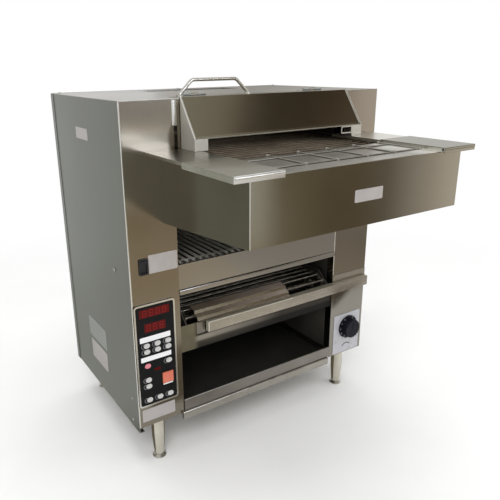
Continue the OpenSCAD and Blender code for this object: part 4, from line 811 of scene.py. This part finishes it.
# Stage
stageLook = {"paper": [(0.3, "#f1f1f0"), (0.7, "#f6f6f5")], "paperMm": 400, "fade": (0.7, 2.2), "span": 14.0,
             "worldFill": 0.62}
plainWhite = hexLinear("#ffffff")


def stagePlane(name, corners, mat):
    mesh = bpy.data.meshes.new(name)
    mesh.from_pydata([Vector(c) for c in corners], [], [tuple(range(len(corners)))])
    mesh.materials.append(mat)
    piece = bpy.data.objects.new(name, mesh)
    bpy.context.scene.collection.objects.link(piece)
    return piece


def seenWhite(tree):
    # 1 for what the camera, metal and glass see, 0 for the light that falls on the object
    path = addNode(tree, "LightPath")
    seen = addNode(tree, "Math", {0: path.outputs["Is Camera Ray"], 1: path.outputs["Is Glossy Ray"]},
                   operation="ADD")
    seenAll = addNode(tree, "Math", {0: seen.outputs["Value"], 1: path.outputs["Is Transmission Ray"]},
                      operation="ADD", use_clamp=True)
    return seenAll.outputs["Value"]


def uprightCard(x0, x1, y, z0, z1):
    return [(x0, y, z0), (x1, y, z0), (x1, y, z1), (x0, y, z1)]


def levelCard(x0, x1, y0, y1, z):
    return [(x0, y0, z), (x1, y0, z), (x1, y1, z), (x0, y1, z)]


# Floor: matt paper, with a faint cloud so that it isn't a flat tone
floorMat, tree, skin = startMaterial("studio_floor_paper", Roughness=0.9, Specular_IOR_Level=0.1)
place = addNode(tree, "TexCoord").outputs["Object"]
grain = addNode(tree, "TexNoise", {"Vector": place, "Scale": 1 / (stageLook["paperMm"] * mm), "Detail": 3.0})
paper = addNode(tree, "ValToRGB", {"Fac": grain.outputs["Fac"]}, ramp=stageLook["paper"])
tree.links.new(paper.outputs["Color"], skin.inputs["Base Color"])
# paper fades to plain white away from the machine, so the backdrop has no edge
far = addNode(tree, "VectorMath", {0: place}, operation="LENGTH")
fade = addNode(tree, "MapRange", {"Value": far.outputs["Value"], "From Min": stageLook["fade"][0],
                                  "From Max": stageLook["fade"][1]})
white = addNode(tree, "Emission", {"Color": plainWhite, "Strength": 1.0})
part = addNode(tree, "Math", {0: seenWhite(tree), 1: fade.outputs["Result"]}, operation="MULTIPLY")
mix = addNode(tree, "MixShader", {0: part.outputs["Value"], 1: skin.outputs["BSDF"],
                                  2: white.outputs["Emission"]})
tree.links.new(mix.outputs["Shader"], tree.nodes["Material Output"].inputs["Surface"])
half = stageLook["span"] / 2
stagePlane("floor", levelCard(-half, half, -half, half, 0), floorMat)

world = bpy.data.worlds.new("studio")
bpy.context.scene.world = world
world.use_nodes = True
tree = world.node_tree
glow = addNode(tree, "MapRange", {"Value": seenWhite(tree), "To Min": stageLook["worldFill"], "To Max": 1.0})
tree.links.new(glow.outputs["Result"], tree.nodes["Background"].inputs["Strength"])
tree.nodes["Background"].inputs["Color"].default_value = plainWhite

# Cards that only the metal sees, as in a product studio: they give the sheets something to reflect. They are
# placed and toned for the camera's view, and stay out of the export.
# Each has its corners in metres, the axis that its shade runs along, and its shades from one end to the other
cards = {
    "card_feeder": {"corners": uprightCard(0.65, 1.88, -1.6, 0.0, 1.25), "axis": 0, "tones": [
        (0.0, "#9c8f79"), (0.2, "#988c76"), (0.27, "#857863"), (0.5, "#8a7d69"), (0.7, "#938c84"),
        (0.77, "#d4d1cf"), (0.95, "#f3e9e5")]},
    "card_glow_right": {"corners": uprightCard(1.88, 2.7, -1.6, 0.0, 1.25), "axis": 0, "glow": 1.4, "tones": [
        (0.0, "#f8f0ec"), (0.2, "#fffaf8")]},
    "card_floor_near": {"corners": levelCard(-0.3, 0.64, -2.7, -0.6, 0.01), "axis": 1, "tones": [
        (0.0, "#b0a084"), (0.3, "#c8b899"), (0.44, "#dccfbb"), (0.7, "#dacaaf"), (1.0, "#efece4")]},
    "card_floor_far": {"corners": levelCard(0.64, 0.86, -2.9, -1.62, 0.01), "axis": 1, "tones": [
        (0.0, "#a89a80"), (1.0, "#c4b496")]},
    "card_floor_right": {"corners": levelCard(0.64, 2.4, -1.59, -0.64, 0.01), "axis": 0, "tones": [
        (0.0, "#cbc5bd"), (0.26, "#c2bbb2"), (0.38, "#bfb8b0"), (0.5, "#b0aaa4")]},
    # a dark card that paints the rail's shadow into the control panel's mirror
    "card_rail": {"corners": [(0.37, -0.2, 0.29), (0.515, -0.2, 0.29), (0.385, -0.2, 0.205)],
                  "axis": 0, "tones": [(0.0, "#6a5f50"), (1.0, "#7c7263")]},
    "card_pad": {"corners": [(-0.25, -0.6, 0.008), (0.12, -0.6, 0.008), (0.0, -0.28, 0.008),
                             (-0.25, -0.28, 0.008)],
                 "axis": 0, "tones": [(0.0, "#8a8274"), (1.0, "#8a8274")]},
    # a dark card under the machine that paints its shade into the legs' mirror
    "card_under": {"corners": [(-0.56, -0.03, 0.005), (0.47, -0.03, 0.005), (0.47, 0.4, 0.005),
                               (-0.56, 0.2, 0.005)],
                   "axis": 0, "tones": [(0.0, "#6b6558"), (1.0, "#625c50")]},
    "card_hood": {"corners": levelCard(0.4, 3.4, -2.0, 0.0, 2.86), "axis": 0, "tones": [
        (0.0, "#dcdcd4"), (0.2, "#d8d8ce"), (0.3, "#c5beb0"), (0.335, "#938a7d"), (0.365, "#5e5446"),
        (0.53, "#645a4b"), (0.64, "#756856"), (0.72, "#887b6c")]},
    "card_column": {"corners": uprightCard(0.55, 1.2, -2.9, 0.54, 0.95), "axis": 2, "tones": [
        (0.0, "#b0afb4"), (0.4, "#b0afb4"), (0.6, "#c4c3c6")]},
    "card_patch": {"corners": uprightCard(0.72, 1.15, -2.9, 0.43, 0.535), "axis": 2, "glow": 2.4, "tones": [
        (0.0, "#e8e3da"), (1.0, "#fffdf8")]},
    "card_glint": {"corners": uprightCard(0.65, 1.3, -2.9, 1.03, 2.2), "axis": 2, "glow": 10.0, "tones": [
        (0.0, "#e2e9fb"), (1.0, "#e2e9fb")]},
    "card_left": {"corners": [(-1.0, 0.2, 0.0), (-1.0, 1.3, 0.0), (-1.0, 1.3, 1.2), (-1.0, 0.2, 1.2)],
                  "axis": 1, "tones": [(0.0, "#98988a"), (0.5, "#949487"), (1.0, "#a8a89b")]},
    "card_floor_left": {"corners": levelCard(-1.3, -0.42, 0.1, 1.5, 0.01), "axis": 1, "tones": [
        (0.0, "#c6c7c1"), (0.45, "#cccdc7"), (1.0, "#f2f2ef")]},
    "card_back": {"corners": uprightCard(0.7, 4.2, 2.0, 0.7, 1.7), "axis": 0, "tones": [
        (0.0, "#cfccc6"), (0.2, "#929086"), (0.37, "#bab6ae"), (0.6, "#e6e6e2"), (0.75, "#cfcfcb")]}}
for name, look in cards.items():
    mat, tree = startMaterial(name + "_cloth", Roughness=1.0)[:2]
    place = addNode(tree, "SeparateXYZ", {"Vector": addNode(tree, "TexCoord").outputs["Object"]})
    reach = [corner[look["axis"]] for corner in look["corners"]]
    run = addNode(tree, "MapRange", {"Value": place.outputs[look["axis"]], "From Min": min(reach),
                                     "From Max": max(reach)})
    tone = addNode(tree, "ValToRGB", {"Fac": run.outputs["Result"]}, ramp=look["tones"])
    glow = addNode(tree, "Emission", {"Color": tone.outputs["Color"], "Strength": look.get("glow", 1.0)})
    tree.links.new(glow.outputs["Emission"], tree.nodes["Material Output"].inputs["Surface"])
    card = stagePlane(name, look["corners"], mat)
    card.visible_camera = card.visible_diffuse = card.visible_shadow = card.visible_transmission = False

lampLook = {
    "key": {"at": (-1.9, -2.3, 2.9), "size": 1.8, "watts": 60},
    "fill": {"at": (2.4, -1.6, 2.2), "size": 2.2, "watts": 22},
    "top": {"at": (0.0, 0.2, 3.4), "size": 2.6, "watts": 50}}
lampAim = Vector((0.0, 0.0, 0.55))     # middle of the machine
for name, look in lampLook.items():
    lamp = bpy.data.lights.new(name, "AREA")
    lamp.energy = look["watts"]
    lamp.size = look["size"]
    piece = bpy.data.objects.new(name, lamp)
    piece.location = look["at"]
    piece.rotation_euler = (lampAim - piece.location).to_track_quat("-Z", "Y").to_euler()
    piece.visible_glossy = False      # the sheets mirror the white room, not the lamps
    bpy.context.scene.collection.objects.link(piece)

# Camera, solved from the picture's straight edges
view = {"at": (-0.83356, -1.17541, 1.00241), "lens": 39.40, "sensor": 36.0, "shift": (0.0520, -0.0137),
        "yaw": 32.495, "pitch": 18.023, "roll": -0.7427, "clipEnd": 50.0}
yaw, pitch, roll = (math.radians(view[k]) for k in ("yaw", "pitch", "roll"))
ahead = Vector((math.sin(yaw) * math.cos(pitch), math.cos(yaw) * math.cos(pitch), -math.sin(pitch)))
level = Vector((math.cos(yaw), -math.sin(yaw), 0.0))
above = level.cross(ahead)
right = level * math.cos(roll) + above * math.sin(roll)
up = above * math.cos(roll) - level * math.sin(roll)
cam = bpy.data.cameras.new("camera")
cam.lens = view["lens"]
cam.sensor_width = view["sensor"]
cam.shift_x, cam.shift_y = view["shift"]
cam.clip_end = view["clipEnd"]
camera = bpy.data.objects.new("camera", cam)
turn = Matrix((right, up, -ahead)).transposed().to_4x4()
camera.matrix_world = Matrix.Translation(view["at"]) @ turn
bpy.context.scene.collection.objects.link(camera)
bpy.context.scene.camera = camera
bpy.context.scene.view_settings.view_transform = "Standard"
print("stage and camera set")

bpy.context.view_layer.update()
